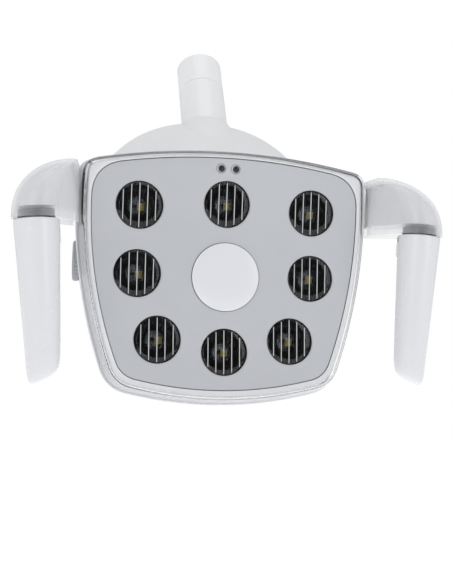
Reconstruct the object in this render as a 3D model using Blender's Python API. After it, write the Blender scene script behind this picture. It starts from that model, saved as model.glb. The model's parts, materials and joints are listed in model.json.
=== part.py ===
"""Dental operating light: an eight-LED lamp head on the swivelling neck of its arm.

Shapes are drawn in face coordinates, in millimetres: origin at the middle of the
face panel, +X to the right of someone facing the lamp, +Y back into the lamp and
+Z up. Each finished piece is scaled to metres and hung on the empty of its body,
whose place is a joint. The origin of the whole part is the centre of the arm
socket's top rim.
"""

import itertools
import math

import bmesh
import bpy
from mathutils import Matrix, Vector

MM = 0.001
GAP = 0.3                       # clearance between pieces that touch
ROUND = 32                      # sides of an ordinary round piece
CORNER_STEPS = 4                # points round each corner of a face outline
SIDE_STEPS = 5                  # points along each of its other stretches

# Neck and arm socket, measured along the neck's axis from the tilt pivot
NECK_LEAN = math.radians(29.0)
NECK_RADIUS = 20.2
TILT_PIVOT = Vector((0, 83.6, 113.6))
NECK_SHOULDER = 70.0
SPIGOT_TOP = 87.0
SPIGOT_RADIUS = 13.9
SOCKET_TOP = 100.5
SCREW_HEIGHT = 80.0
SOCKET_BORE = 16.5
CABLE_BORE = 9.0
RETAINER_THICKNESS = 3.0
BARREL_RADIUS = 19.0
BARREL_HALF_WIDTH = 19.8
PIN_RADIUS = 5.0
PIN_INNER_END = 10.0
WELL_HALF_WIDTH = 21.3
WELL_WALL = 2.3
TILT_RANGE = math.radians(60.0)

# Face: (half width at top, top, top sag, half width at bottom, bottom, bottom sag,
# side bulge, top corner, bottom corner)
PANEL = (102.2, 91.0, 11.7, 78.9, -86.4, 11.0, 9.2, 20.2, 10.3)
RIM_FRONT = (108.0, 95.5, 12.5, 84.5, -93.4, 12.4, 9.6, 9.0, 12.0)
RIM_REAR = (113.5, 98.5, 14.0, 89.0, -99.0, 13.0, 9.6, 11.0, 14.0)
CORNER_FULLNESS = 0.66
DISH_X = 0.000412               # how fast the face curves forward, per mm of X squared
DISH_Z = 0.000581
PANEL_THICKNESS = 2.0
RIM_PROUD = 3.0
RIM_WALL = 1.8
RIM_BACK = 9.0
BEZEL_PROUD = 0.6
BEZEL_LEDGE = 3.0

# Lamps and sensors in the face: (x, z)
LED_CENTRES = [(-67.4, 52.1), (0, 56.0), (67.4, 52.1), (-67.8, 0.9), (67.8, 0.9),
               (-51.7, -48.5), (0, -57.4), (51.7, -48.5)]
LED_HOLE = 18.1
LENS_RADIUS = 17.6
LENS_FRONT = 2.7
LENS_BACK = 4.4
CUP_RADIUS = 20.6
CUP_SEAT = 18.2
CUP_DEPTH = 24.0
SENSOR_CENTRES = {"left": (-5.7, 83.2), "right": (5.7, 83.2)}
SENSOR_RADIUS = 3.3
BADGE_RADIUS = 26.2
BADGE_BOSS = 12.0

# Rear casing
CASING_FRONT = RIM_BACK + 0.5
CASING_INSET = 2.6              # casing's front edge inside the rim's rear edge
CASING_WALL = 2.5
HOOD_Y = 95.0                   # the deepest full section of the hood
HOOD_BACK = 32.0                # how far the hood closes behind that section
HOOD_HALF_WIDTH = 105.0
HOOD_TOP = 144.5
HOOD_BOTTOM = -15.0
HOOD_MIDDLE = 40.0
HOOD_POWER = 2.2
LOW_CURVE = 1.4                 # how long the underside stays near the face before it rises
HOOD_CENTRE_Z = 70.0
TONGUE = [(40, 13, 106), (58, 18, 127), (72, 21, 140), (84, 21.5, 149)]  # y, half width, top

# Chassis inside the head
CHASSIS_FRONT = 28.5
CHASSIS_BACK = 31.5
EAR_INNER = WELL_HALF_WIDTH + WELL_WALL + 0.6
EAR_OUTER = EAR_INNER + 3.5
EAR_RADIUS = 11.0
BRACKET_LOW = 38.0
BRACKET_HIGH = 78.0

# Side wings that carry the handles
WING_INNER_X = 113.0
WING_BOTTOM = 34.0
WING_SPRING = 38.0              # above this height the wing rounds over
WING_HEIGHT = 42.0
WING_SKIN = 1.6
WING_FRONT_EDGE = (112.3, -10.0)
WING_BACK_EDGE = (115.6, 13.0)
CORE_BOTTOM = 41.3

# Handles, measured down the handle's axis from the foot of the wing
HANDLE_TOP = Vector((142.0, -38.4, 34.0))
HANDLE_LEAN = math.radians(4.2)
WING_NOSE_RADIUS = 17.0
HANDLE_RADIUS = 15.85
HANDLE_TAPER = 0.0425
HANDLE_LENGTH = 110.0
HANDLE_END_SLANT = 0.44
HANDLE_BORE = 9.3
PEG_RADIUS = 9.0
PEG_LENGTH = 40.0
BUTTON_SIZE = (7.0, 13.0, 4.9)  # across, along the handle, into it
BUTTON_TOP = 4.0
BUTTON_TURN = math.radians(154.5)   # from outward towards the back, about the handle

# Brightness knob on the left side
KNOB_CENTRE = Vector((-108.9, 46.0, 12.0))
KNOB_RADIUS = 16.0
KNOB_THICKNESS = 5.0
KNOB_STEM = 3.0
KNOB_STEM_END = 92.0            # distance of the stem's inner end from the middle plane
KNOB_SEAT_RADIUS = 17.5

MATERIALS = {
    # name: (colour, roughness, metallic, alpha)
    "white_plastic": ((0.84, 0.85, 0.87), 0.30, 0.0, 1.0),
    "white_paint": ((0.80, 0.81, 0.83), 0.35, 0.0, 1.0),
    "silver_paint": ((0.55, 0.57, 0.60), 0.38, 0.6, 1.0),
    "clear_plastic": ((0.88, 0.89, 0.93), 0.06, 0.0, 0.35),
    "lens_plastic": ((0.80, 0.84, 0.88), 0.04, 0.0, 0.30),
    "black_gloss": ((0.02, 0.02, 0.022), 0.12, 0.0, 1.0),
    "dark_plastic": ((0.08, 0.08, 0.09), 0.30, 0.0, 1.0),
    "grey_plastic": ((0.35, 0.36, 0.38), 0.45, 0.0, 1.0),
    "aluminium": ((0.70, 0.71, 0.72), 0.40, 1.0, 1.0),
    "steel": ((0.62, 0.62, 0.63), 0.28, 1.0, 1.0),
    "bearing_plastic": ((0.75, 0.74, 0.70), 0.45, 0.0, 1.0),
    "circuit_board": ((0.05, 0.22, 0.12), 0.45, 0.0, 1.0),
    "led_yellow": ((0.75, 0.60, 0.12), 0.40, 0.0, 1.0),
    "badge_white": ((0.86, 0.87, 0.88), 0.30, 0.0, 1.0),
}

NECK_AXIS = Vector((0, math.sin(NECK_LEAN), math.cos(NECK_LEAN)))
SOCKET_CENTRE = TILT_PIVOT + NECK_AXIS * SOCKET_TOP


# ---------------------------------------------------------------- shapes

def dish(x, z):
    """Depth of the slightly hollow face at a point."""
    return -DISH_X * x * x - DISH_Z * z * z


def bezier(a, b, c, d, t):
    """A point on a cubic curve."""
    s = 1 - t
    return a * s ** 3 + b * 3 * s * s * t + c * 3 * s * t * t + d * t ** 3


def half_outline(shape):
    """The right half of a face outline, from the top middle to the bottom middle."""
    top_half, top, top_sag, bottom_half, bottom, bottom_sag, bulge, top_corner, bottom_corner = shape
    top_end = Vector((top_half, top - top_sag))
    bottom_end = Vector((bottom_half, bottom + bottom_sag))
    side = bottom_end - top_end
    outward = Vector((-side.y, side.x)).normalized()

    def top_arc(x):
        return Vector((x, top - top_sag * (x / top_half) ** 2))

    def side_arc(s):
        return top_end + side * s + outward * (4 * s * (1 - s) * bulge)

    def bottom_arc(x):
        return Vector((x, bottom + bottom_sag * (x / bottom_half) ** 2))

    def corner(start, tip, end):
        return [bezier(start, start.lerp(tip, CORNER_FULLNESS), end.lerp(tip, CORNER_FULLNESS), end,
                       i / CORNER_STEPS) for i in range(1, CORNER_STEPS + 1)]

    first = top_half - top_corner
    top_share = top_corner / side.length
    bottom_share = 1 - bottom_corner / side.length
    last = bottom_half - bottom_corner
    points = [top_arc(first * i / SIDE_STEPS) for i in range(SIDE_STEPS + 1)]
    points += corner(points[-1], top_end, side_arc(top_share))
    points += [side_arc(top_share + (bottom_share - top_share) * i / SIDE_STEPS)
               for i in range(1, SIDE_STEPS + 1)]
    points += corner(points[-1], bottom_end, bottom_arc(last))
    points += [bottom_arc(last * (1 - i / SIDE_STEPS)) for i in range(1, SIDE_STEPS + 1)]
    return points


def outline(shape):
    """A closed face outline, clockwise from the top middle as seen from the front."""
    right = half_outline(shape)
    left = [Vector((-p.x, p.y)) for p in reversed(right[1:-1])]
    return right + left


def offset(points, distance):
    """A clockwise outline moved outwards by a distance."""
    moved = []
    for i, point in enumerate(points):
        along = (points[(i + 1) % len(points)] - points[i - 1]).normalized()
        moved.append(point + Vector((-along.y, along.x)) * distance)
    return moved


def at_depth(points, depth):
    """An outline in the face's plane, as points in space at a depth or on a surface."""
    return [Vector((p.x, depth(p.x, p.y) if callable(depth) else depth, p.y)) for p in points]


def frame_at(origin, axis):
    """The frame whose Z runs along axis, for turned pieces."""
    turn = Vector(axis).to_track_quat("Z", "Y").to_matrix().to_4x4()
    return Matrix.Translation(origin) @ turn


# ---------------------------------------------------------------- meshes

def new_piece(name, mesh_builder):
    """A scene object from a bmesh, with every face turned outwards."""
    bmesh.ops.recalc_face_normals(mesh_builder, faces=mesh_builder.faces)
    if mesh_builder.calc_volume(signed=True) < 0:
        bmesh.ops.reverse_faces(mesh_builder, faces=mesh_builder.faces)
    mesh = bpy.data.meshes.new(name)
    mesh_builder.to_mesh(mesh)
    mesh_builder.free()
    piece = bpy.data.objects.new(name, mesh)
    bpy.context.scene.collection.objects.link(piece)
    return piece


def loft(name, loops, ring=False):
    """Skin a row of loops; a ring joins the last to the first, others get end caps."""
    builder = bmesh.new()
    rows = [[builder.verts.new(p) for p in loop] for loop in loops]
    pairs = list(zip(rows, rows[1:]))
    if ring:
        pairs.append((rows[-1], rows[0]))
    for low, high in pairs:
        for i in range(len(low)):
            j = (i + 1) % len(low)
            builder.faces.new((low[i], low[j], high[j], high[i]))
    if not ring:
        builder.faces.new(rows[0])
        builder.faces.new(rows[-1])
    return new_piece(name, builder)


def turned(name, profile, frame, sides=ROUND, ring=False):
    """A turned piece: (radius, height) points swept about the frame's Z axis."""
    return loft(name, [circle(radius, height, frame, sides) for radius, height in profile], ring)


def block(name, low, high, frame=Matrix.Identity(4), chamfer=0.0):
    """A rectangular piece between two corners of a frame, with chamfered edges."""
    middle = (Vector(high) + Vector(low)) / 2
    half = (Vector(high) - Vector(low)) / 2
    points = []
    for signs in itertools.product((-1, 1), repeat=3):
        for full in range(3):
            reach = [half[i] - (0 if i == full else chamfer) for i in range(3)]
            points.append(frame @ (middle + Vector([signs[i] * reach[i] for i in range(3)])))
    return hull(name, points)


def circle(radius, height, frame, sides):
    """A loop of points about a frame's Z axis."""
    angles = [2 * math.pi * i / sides for i in range(sides)]
    return [frame @ Vector((radius * math.cos(a), radius * math.sin(a), height)) for a in angles]


def hull(name, points):
    """The convex solid around some points."""
    builder = bmesh.new()
    for point in points:
        builder.verts.new(point)
    bmesh.ops.remove_doubles(builder, verts=builder.verts[:], dist=0.01)
    bmesh.ops.convex_hull(builder, input=builder.verts[:])
    inner = [v for v in builder.verts if not v.link_faces]
    bmesh.ops.delete(builder, geom=inner, context="VERTS")
    bmesh.ops.dissolve_limit(builder, angle_limit=math.radians(0.5), verts=builder.verts[:],
                             edges=builder.edges[:])
    return new_piece(name, builder)


def combine(piece, other, operation="DIFFERENCE"):
    """Cut, join or intersect a piece with another, which is used up. Bent faces are
    split into triangles first, so that the cut runs through flat ones."""
    builder = bmesh.new()
    builder.from_mesh(piece.data)
    bmesh.ops.connect_verts_nonplanar(builder, angle_limit=math.radians(0.1), faces=builder.faces[:])
    builder.to_mesh(piece.data)
    builder.free()
    modifier = piece.modifiers.new("combine", "BOOLEAN")
    modifier.operation = operation
    modifier.object = other
    bpy.context.view_layer.update()
    seen = piece.evaluated_get(bpy.context.evaluated_depsgraph_get())
    result = bpy.data.meshes.new_from_object(seen)
    piece.modifiers.clear()
    old = piece.data
    piece.data = result
    bpy.data.meshes.remove(old)
    bpy.data.objects.remove(other)
    return piece


def make_material(name):
    """A Principled material from the table."""
    colour, roughness, metallic, alpha = MATERIALS[name]
    material = bpy.data.materials.new(name)
    material.use_nodes = True
    shader = material.node_tree.nodes["Principled BSDF"]
    shader.inputs["Base Color"].default_value = (*colour, 1)
    shader.inputs["Roughness"].default_value = roughness
    shader.inputs["Metallic"].default_value = metallic
    shader.inputs["Alpha"].default_value = alpha
    material.diffuse_color = (*colour, alpha)
    return material


def handle_frame(side):
    """Frame on a handle's axis: X outwards from the lamp, Z down the handle."""
    down = Vector((-side * math.sin(HANDLE_LEAN), 0, -math.cos(HANDLE_LEAN)))
    outward = Vector((side * math.cos(HANDLE_LEAN), 0, -math.sin(HANDLE_LEAN)))
    back = down.cross(outward)
    turn = Matrix((outward, back, down)).transposed().to_4x4()
    return Matrix.Translation((side * HANDLE_TOP.x, HANDLE_TOP.y, HANDLE_TOP.z)) @ turn


def button_frame(side):
    """Frame of a release button: X out of the handle, Z down the handle."""
    frame = handle_frame(side)
    sense = 1 if frame.to_3x3().col[1].y > 0 else -1
    return frame @ Matrix.Rotation(sense * BUTTON_TURN, 4, "Z")


# ---------------------------------------------------------------- bodies

SIDES = {"left": -1, "right": 1}


def make_bodies():
    """One empty for each moving body, on the body's joint axis."""
    joints = [("arm", None, SOCKET_CENTRE),
              ("neck", "arm", TILT_PIVOT + NECK_AXIS * NECK_SHOULDER),
              ("head", "neck", TILT_PIVOT),
              ("knob", "head", KNOB_CENTRE)]
    for name, side in SIDES.items():
        top = handle_frame(side).translation
        joints.append(("grip_" + name, "head", top))
        joints.append(("release_" + name, "grip_" + name, top))
    bodies = {}
    for name, parent, centre in joints:
        empty = bpy.data.objects.new(name + "_body", None)
        empty.empty_display_size = 0.02
        bpy.context.scene.collection.objects.link(empty)
        start = SOCKET_CENTRE
        if parent:
            empty.parent = bodies[parent][0]
            start = bodies[parent][1]
        empty.location = (centre - start) * MM
        bodies[name] = (empty, centre)
    return bodies


def place(piece, body, material):
    """Scale a finished piece to metres and hang it on its body's empty."""
    empty, centre = body
    piece.data.transform(Matrix.Scale(MM, 4) @ Matrix.Translation(-centre))
    piece.parent = empty
    piece.data.materials.clear()
    piece.data.materials.append(material)
    piece.data.shade_smooth()
    piece.data.set_sharp_from_angle(angle=math.radians(35))


# ---------------------------------------------------------------- arm and neck

def make_arm_socket():
    """The end tube of the arm, with the hole for its friction screw."""
    frame = frame_at(TILT_PIVOT, NECK_AXIS)
    bottom = NECK_SHOULDER + GAP
    tube = turned("arm_socket_tube", [(SOCKET_BORE, bottom), (NECK_RADIUS - 0.5, bottom),
                                      (NECK_RADIUS, bottom + 0.5), (NECK_RADIUS, SOCKET_TOP - 1),
                                      (NECK_RADIUS - 1, SOCKET_TOP), (SOCKET_BORE, SOCKET_TOP)],
                  frame, 32, ring=True)
    return combine(tube, turned("hole", [(2.8, 14), (2.8, 25)], screw_frame(), 16))


def screw_frame():
    """Frame of the friction screw, pointing out of the back of the socket."""
    outward = Vector((0, math.cos(NECK_LEAN), -math.sin(NECK_LEAN)))
    return frame_at(TILT_PIVOT + NECK_AXIS * SCREW_HEIGHT, outward)


def make_friction_screw():
    """The grub screw that sets the swivel's stiffness."""
    screw = turned("swivel_screw", [(1.6, 16.6), (2.4, 17.4), (2.4, 21.0)], screw_frame(), 16)
    return combine(screw, turned("key", [(1.3, 19), (1.3, 22)], screw_frame(), 6))


def make_swivel_bush():
    """The plain bearing sleeve between socket and spigot."""
    frame = frame_at(TILT_PIVOT, NECK_AXIS)
    inner = SPIGOT_RADIUS + GAP
    outer = SOCKET_BORE - GAP
    low = NECK_SHOULDER + 2 * GAP
    return turned("swivel_bush", [(inner, low), (outer, low), (outer, SPIGOT_TOP - GAP),
                                  (inner, SPIGOT_TOP - GAP)], frame, 24, ring=True)


def make_retainer():
    """The ring on top of the spigot that keeps the neck in the socket."""
    frame = frame_at(TILT_PIVOT, NECK_AXIS)
    low = SPIGOT_TOP + GAP
    high = low + RETAINER_THICKNESS
    outer = SOCKET_BORE - GAP
    return turned("swivel_retainer", [(CABLE_BORE + 1, low), (outer, low), (outer, high - 0.6),
                                      (outer - 0.6, high), (CABLE_BORE + 1, high)], frame, 24, ring=True)


def make_neck():
    """The neck: spigot, tube and the cross barrel that turns on the tilt pins."""
    frame = frame_at(TILT_PIVOT, NECK_AXIS)
    neck = turned("neck_tube", [(17, 13), (NECK_RADIUS, 16), (NECK_RADIUS, NECK_SHOULDER - 0.5),
                                (NECK_RADIUS - 0.5, NECK_SHOULDER), (SPIGOT_RADIUS, NECK_SHOULDER),
                                (SPIGOT_RADIUS, SPIGOT_TOP)], frame, 32)
    across = frame_at(TILT_PIVOT, (1, 0, 0))
    edge = BARREL_HALF_WIDTH
    barrel = turned("barrel", [(BARREL_RADIUS - 1, -edge), (BARREL_RADIUS, 1 - edge),
                               (BARREL_RADIUS, edge - 1), (BARREL_RADIUS - 1, edge)], across, 32)
    combine(neck, barrel, "UNION")
    combine(neck, turned("bore", [(CABLE_BORE, -30), (CABLE_BORE, SOCKET_TOP)], frame, 20))
    return combine(neck, turned("pin_bore", [(PIN_RADIUS + GAP, -30), (PIN_RADIUS + GAP, 30)], across, 20))


def make_tilt_hardware():
    """The two shoulder pins and the two friction washers of the tilt joint."""
    pieces = []
    for name, side in SIDES.items():
        frame = frame_at(TILT_PIVOT, (side, 0, 0))
        head = EAR_OUTER + GAP
        pin = turned("tilt_pin_" + name,
                     [(PIN_RADIUS - 0.6, PIN_INNER_END), (PIN_RADIUS, PIN_INNER_END + 0.6),
                      (PIN_RADIUS, head), (8, head), (8, head + 2.4), (7.2, head + 3)], frame, 20)
        washer = turned("tilt_washer_" + name,
                        [(PIN_RADIUS + GAP, BARREL_HALF_WIDTH + GAP), (12, BARREL_HALF_WIDTH + GAP),
                         (12, WELL_HALF_WIDTH - GAP), (PIN_RADIUS + GAP, WELL_HALF_WIDTH - GAP)],
                        frame, 20, ring=True)
        pieces += [(pin, "steel"), (washer, "bearing_plastic")]
    return pieces


# ---------------------------------------------------------------- casing

def resample(points, centre, count):
    """The points of an outline at equal angles about a centre, clockwise from the top."""
    result = []
    total = len(points)
    for k in range(count):
        angle = 2 * math.pi * k / count
        ray = Vector((math.sin(angle), math.cos(angle)))
        for i in range(total):
            a = points[i] - centre
            b = points[(i + 1) % total] - centre
            cross_a = ray.x * a.y - ray.y * a.x
            cross_b = ray.x * b.y - ray.y * b.x
            if cross_a >= 0 > cross_b or cross_a > 0 >= cross_b:
                share = cross_a / (cross_a - cross_b)
                hit = a.lerp(b, share)
                if hit.dot(ray) > 0:
                    result.append(centre + hit)
                    break
    return result


def hood_outline(centre, count, inset):
    """The hood's deepest section, at equal angles about a centre."""
    points = []
    steps = 180
    for k in range(steps):
        angle = 2 * math.pi * k / steps
        across, up = math.sin(angle), math.cos(angle)
        reach = HOOD_TOP - HOOD_MIDDLE if up >= 0 else HOOD_MIDDLE - HOOD_BOTTOM
        x = math.copysign(abs(across) ** (2 / HOOD_POWER), across) * (HOOD_HALF_WIDTH - inset)
        z = HOOD_MIDDLE + math.copysign(abs(up) ** (2 / HOOD_POWER), up) * (reach - inset)
        points.append(Vector((x, z)))
    return resample(points, centre, count)


def casing_section(y, inset, count=40):
    """The casing's outline at a depth, drawn in from the surface by inset."""
    centre = Vector((0, 30))
    front = resample(offset(outline(RIM_REAR), -CASING_INSET - inset), centre, count)
    hood = hood_outline(centre, count, inset)
    share = min(1.0, max(0.0, (y - CASING_FRONT) / (HOOD_Y - CASING_FRONT)))
    points = []
    for k in range(count):
        lowness = (1 - math.cos(2 * math.pi * k / count)) / 2
        part = share * (1 - lowness) + share ** LOW_CURVE * lowness
        points.append(front[k].lerp(hood[k], part))
    return points


def casing_loops(inset, start):
    """The casing's sections from its open front to its rounded back."""
    depths = [start, 26, 44, 62, 79, HOOD_Y]
    loops = [at_depth(casing_section(y, inset), y) for y in depths]
    middle = Vector((0, HOOD_CENTRE_Z))
    last = casing_section(HOOD_Y, inset)
    for angle in (28, 50, 68):
        turn = math.radians(angle)
        scale = math.cos(turn)
        shrunk = [middle + (p - middle) * scale for p in last]
        loops.append(at_depth(shrunk, HOOD_Y + (HOOD_BACK - inset) * math.sin(turn)))
    return loops


def tongue_loops():
    """The raised tongue in front of the neck, as arches growing out of the hood."""
    loops = []
    for y, half, top in TONGUE:
        spring = top - half
        arch = [Vector((half * math.cos(math.pi * i / 10), y, spring + half * math.sin(math.pi * i / 10)))
                for i in range(11)]
        loops.append([Vector((half, y, 80))] + arch + [Vector((-half, y, 80))])
    return loops


def neck_well(name, margin, reach):
    """The space that the neck sweeps as the head tilts, with a margin round it."""
    radius = WELL_HALF_WIDTH + margin
    lean = NECK_LEAN + TILT_RANGE
    points = []
    for axis in (NECK_AXIS, Vector((0, math.sin(lean), math.cos(lean)))):
        frame = frame_at(TILT_PIVOT, axis)
        points += circle(radius, 0, frame, 40) + circle(radius, reach, frame, 40)
    well = hull(name, points)
    half = radius - 0.25
    barrel = turned("barrel", [(radius - 0.4, -half), (radius - 0.4, half)],
                    frame_at(TILT_PIVOT, (1, 0, 0)), 36)
    return combine(well, barrel, "UNION")


def make_rear_casing():
    """The moulded rear casing: hollow hood, neck well, tongue, knob and cable holes."""
    casing = loft("rear_casing", casing_loops(0, CASING_FRONT))
    combine(casing, loft("tongue", tongue_loops()), "UNION")
    seat = turned("knob_seat", [(KNOB_SEAT_RADIUS, -20), (KNOB_SEAT_RADIUS, 0)],
                  frame_at(KNOB_CENTRE, (-1, 0, 0)), ROUND)
    combine(casing, seat, "UNION")
    hollow = loft("hollow", casing_loops(CASING_WALL, CASING_FRONT - 6))
    combine(hollow, neck_well("well_wall", WELL_WALL, 60))
    combine(casing, hollow)
    combine(casing, neck_well("well", 0, 80))
    across = frame_at(TILT_PIVOT, (1, 0, 0))
    combine(casing, turned("pin_holes", [(PIN_RADIUS + GAP, -40), (PIN_RADIUS + GAP, 40)], across, 20))
    combine(casing, turned("cable_hole", [(6, -40), (6, -15)], frame_at(TILT_PIVOT, NECK_AXIS), 16))
    hole = KNOB_STEM + 2 * GAP
    stem_axis = frame_at(KNOB_CENTRE, (-1, 0, 0))
    return combine(casing, turned("knob_hole", [(hole, -20), (hole, 10)], stem_axis, 16))


# ---------------------------------------------------------------- chassis

def make_chassis():
    """The aluminium plate that carries the LEDs and the bracket, with four standoffs."""
    middle = Vector((0, 5))
    section = casing_section((CHASSIS_FRONT + CHASSIS_BACK) / 2, CASING_WALL)
    edge = [middle + (p - middle) * 0.975 for p in section]
    plate = loft("chassis_plate", [at_depth(edge, CHASSIS_FRONT), at_depth(edge, CHASSIS_BACK)])
    for x in (-40, 40):
        for z in (-45, 5):
            stud = turned("stud", [(3, CHASSIS_BACK - 1.5), (3, CHASSIS_BACK + 4.2)],
                          frame_at(Vector((x, 0, z)), (0, 1, 0)), 12)
            combine(plate, stud, "UNION")
    return plate


def make_tilt_bracket():
    """The bracket on the chassis whose two ears hold the tilt pins."""
    back = CHASSIS_BACK + GAP
    bracket = block("tilt_bracket", (-EAR_OUTER, back, BRACKET_LOW), (EAR_OUTER, back + 3.2, BRACKET_HIGH))
    for side in (-1, 1):
        corners = []
        for x in (side * EAR_INNER, side * EAR_OUTER):
            corners += [Vector((x, back + 1.1, BRACKET_LOW + 2)), Vector((x, back + 1.1, BRACKET_HIGH - 2))]
            for i in range(24):
                angle = 2 * math.pi * i / 24
                round_edge = Vector((x, EAR_RADIUS * math.cos(angle), EAR_RADIUS * math.sin(angle)))
                corners.append(TILT_PIVOT + round_edge)
        combine(bracket, hull("ear", corners), "UNION")
    across = frame_at(TILT_PIVOT, (1, 0, 0))
    hole = PIN_RADIUS + GAP
    return combine(bracket, turned("pin_holes", [(hole, -40), (hole, 40)], across, 20))


def make_driver_board():
    """The LED driver: a circuit board with a coil, a capacitor and a connector."""
    low = CHASSIS_BACK + 4.2 + GAP
    board = block("driver_board", (-46, low, -51), (46, low + 1.6, 11))
    combine(board, block("chip", (-34, low + 1, -20), (-16, low + 5, -2)), "UNION")
    combine(board, block("connector", (10, low + 1, -8), (32, low + 10, 4)), "UNION")
    coil = turned("coil", [(7, 1), (7, 9)], frame_at(Vector((12, low, -32)), (0, 1, 0)), 16)
    return combine(board, coil, "UNION")


def make_dimmer():
    """The rotary dimmer behind the brightness knob."""
    frame = frame_at(Vector((0, KNOB_CENTRE.y, KNOB_CENTRE.z)), (-1, 0, 0))
    back = KNOB_STEM_END - 5
    dimmer = turned("dimmer", [(8, back), (8, back + 10), (4.6, back + 10), (4.6, back + 12.4)], frame, 20)
    bore = KNOB_STEM + GAP
    return combine(dimmer, turned("bore", [(bore, KNOB_STEM_END - 1), (bore, back + 14)], frame, 12))


def make_knob():
    """The brightness knob, a ribbed disc with the stem that turns the dimmer."""
    frame = frame_at(Vector((0, KNOB_CENTRE.y, KNOB_CENTRE.z)), (-1, 0, 0))
    inner = -KNOB_CENTRE.x + GAP
    outer = inner + KNOB_THICKNESS
    return turned("brightness_knob", [(KNOB_STEM, KNOB_STEM_END), (KNOB_STEM, inner),
                                      (KNOB_RADIUS - 0.6, inner), (KNOB_RADIUS, inner + 0.6),
                                      (KNOB_RADIUS, outer - 1.2), (KNOB_RADIUS - 1.2, outer)], frame, 24)


# ---------------------------------------------------------------- face

def led_frame(x, z):
    """Frame on a lamp's axis, Z pointing back, square to the hollow face."""
    normal = Vector((2 * DISH_X * x, 1, 2 * DISH_Z * z))
    return frame_at(Vector((x, dish(x, z), z)), normal)


def make_face_panel():
    """The silver face panel, hollow towards the viewer, with its round windows."""
    edge = outline(PANEL)
    front = [at_depth([p * s for p in edge], dish) for s in (0.26, 0.6, 1.0)]
    back = [[p + Vector((0, PANEL_THICKNESS, 0)) for p in loop] for loop in reversed(front)]
    panel = loft("face_panel", front + back)
    for x, z in LED_CENTRES:
        combine(panel, turned("hole", [(LED_HOLE, -8), (LED_HOLE, 12)], led_frame(x, z), 24))
    hole = SENSOR_RADIUS + GAP
    for x, z in SENSOR_CENTRES.values():
        combine(panel, turned("hole", [(hole, -8), (hole, 12)], led_frame(x, z), 16))
    hole = BADGE_BOSS + GAP
    return combine(panel, turned("hole", [(hole, -8), (hole, 12)], led_frame(0, 0), 24))


def make_badge():
    """The plain round badge, held by its boss in the middle of the panel."""
    return turned("badge", [(BADGE_RADIUS - 0.5, -2.0), (BADGE_RADIUS, -1.5), (BADGE_RADIUS, -0.75),
                            (BADGE_BOSS, -0.75), (BADGE_BOSS, 4)], led_frame(0, 0), 36)


def make_front_bezel():
    """The white frame round the panel, with the ledge that the panel rests on."""
    panel = outline(PANEL)
    outer = offset(outline(RIM_FRONT), -RIM_WALL - 2 * GAP)
    back = offset(outline(RIM_REAR), -RIM_WALL - 2.8)
    seat = PANEL_THICKNESS + GAP
    return loft("front_bezel", [
        at_depth(offset(panel, 0.4), lambda x, z: dish(x, z) - BEZEL_PROUD),
        at_depth(offset(outer, -1.2), lambda x, z: dish(x, z) - 2 * BEZEL_PROUD),
        at_depth(outer, lambda x, z: dish(x, z)),
        at_depth(back, RIM_BACK + 0.2),
        at_depth(offset(panel, -BEZEL_LEDGE), RIM_BACK + 0.2),
        at_depth(offset(panel, -BEZEL_LEDGE), lambda x, z: dish(x, z) + seat),
        at_depth(offset(panel, 0.4), lambda x, z: dish(x, z) + seat),
    ], ring=True)


def make_clear_rim():
    """The clear rim round the head, flaring out from the face to the casing."""
    front = outline(RIM_FRONT)
    rear = outline(RIM_REAR)
    return loft("clear_rim", [
        at_depth(offset(front, -RIM_WALL + 0.4), lambda x, z: dish(x, z) - RIM_PROUD),
        at_depth(offset(front, -0.4), lambda x, z: dish(x, z) - RIM_PROUD),
        at_depth(front, lambda x, z: dish(x, z) - RIM_PROUD + 0.6),
        at_depth(rear, RIM_BACK),
        at_depth(offset(rear, -RIM_WALL - 0.2), RIM_BACK),
        at_depth(offset(front, -RIM_WALL), lambda x, z: dish(x, z) - RIM_PROUD + 0.6),
    ], ring=True)


def make_lamps():
    """For each LED: its reflector cup, its lens and its emitter on a heat slug."""
    pieces = []
    for number, (x, z) in enumerate(LED_CENTRES, 1):
        frame = led_frame(x, z)
        front = PANEL_THICKNESS + GAP
        seat = LENS_BACK + GAP
        cup = turned("led_cup_%d" % number, [(CUP_SEAT, front), (CUP_RADIUS, front), (CUP_RADIUS, 12),
                                             (12, CUP_DEPTH), (5, CUP_DEPTH), (16.9, 10), (16.9, seat),
                                             (CUP_SEAT, seat)], frame, 16, ring=True)
        lens = turned("led_lens_%d" % number,
                      [(LENS_RADIUS - 0.4, LENS_FRONT), (LENS_RADIUS, LENS_FRONT + 0.4),
                       (LENS_RADIUS, LENS_BACK)], frame, 20)
        slug = CHASSIS_FRONT - dish(x, z) - 0.8
        board = CUP_DEPTH + GAP
        emitter = turned("led_emitter_%d" % number,
                         [(3.6, 21.6), (3.6, board), (11, board), (11, board + 1.6),
                          (7, board + 1.6), (7, slug)], frame, 10)
        pieces += [(cup, "black_gloss"), (lens, "lens_plastic"), (emitter, "led_yellow")]
    return pieces


def make_sensors():
    """The two sensor windows in the panel and the little board behind them."""
    pieces = []
    for name, (x, z) in SENSOR_CENTRES.items():
        window = turned("sensor_window_" + name, [(SENSOR_RADIUS - 0.8, 0.2), (SENSOR_RADIUS, 0.6),
                                                  (SENSOR_RADIUS, PANEL_THICKNESS + GAP),
                                                  (4.2, PANEL_THICKNESS + GAP), (4.2, 5)], led_frame(x, z), 14)
        pieces.append((window, "black_gloss"))
    x, z = SENSOR_CENTRES["right"]
    board = block("sensor_board", (-14, dish(x, z) + 5.6, z - 4.2), (14, dish(x, z) + 7, z + 4.2))
    pieces.append((board, "circuit_board"))
    return pieces


# ---------------------------------------------------------------- wings and handles

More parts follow.
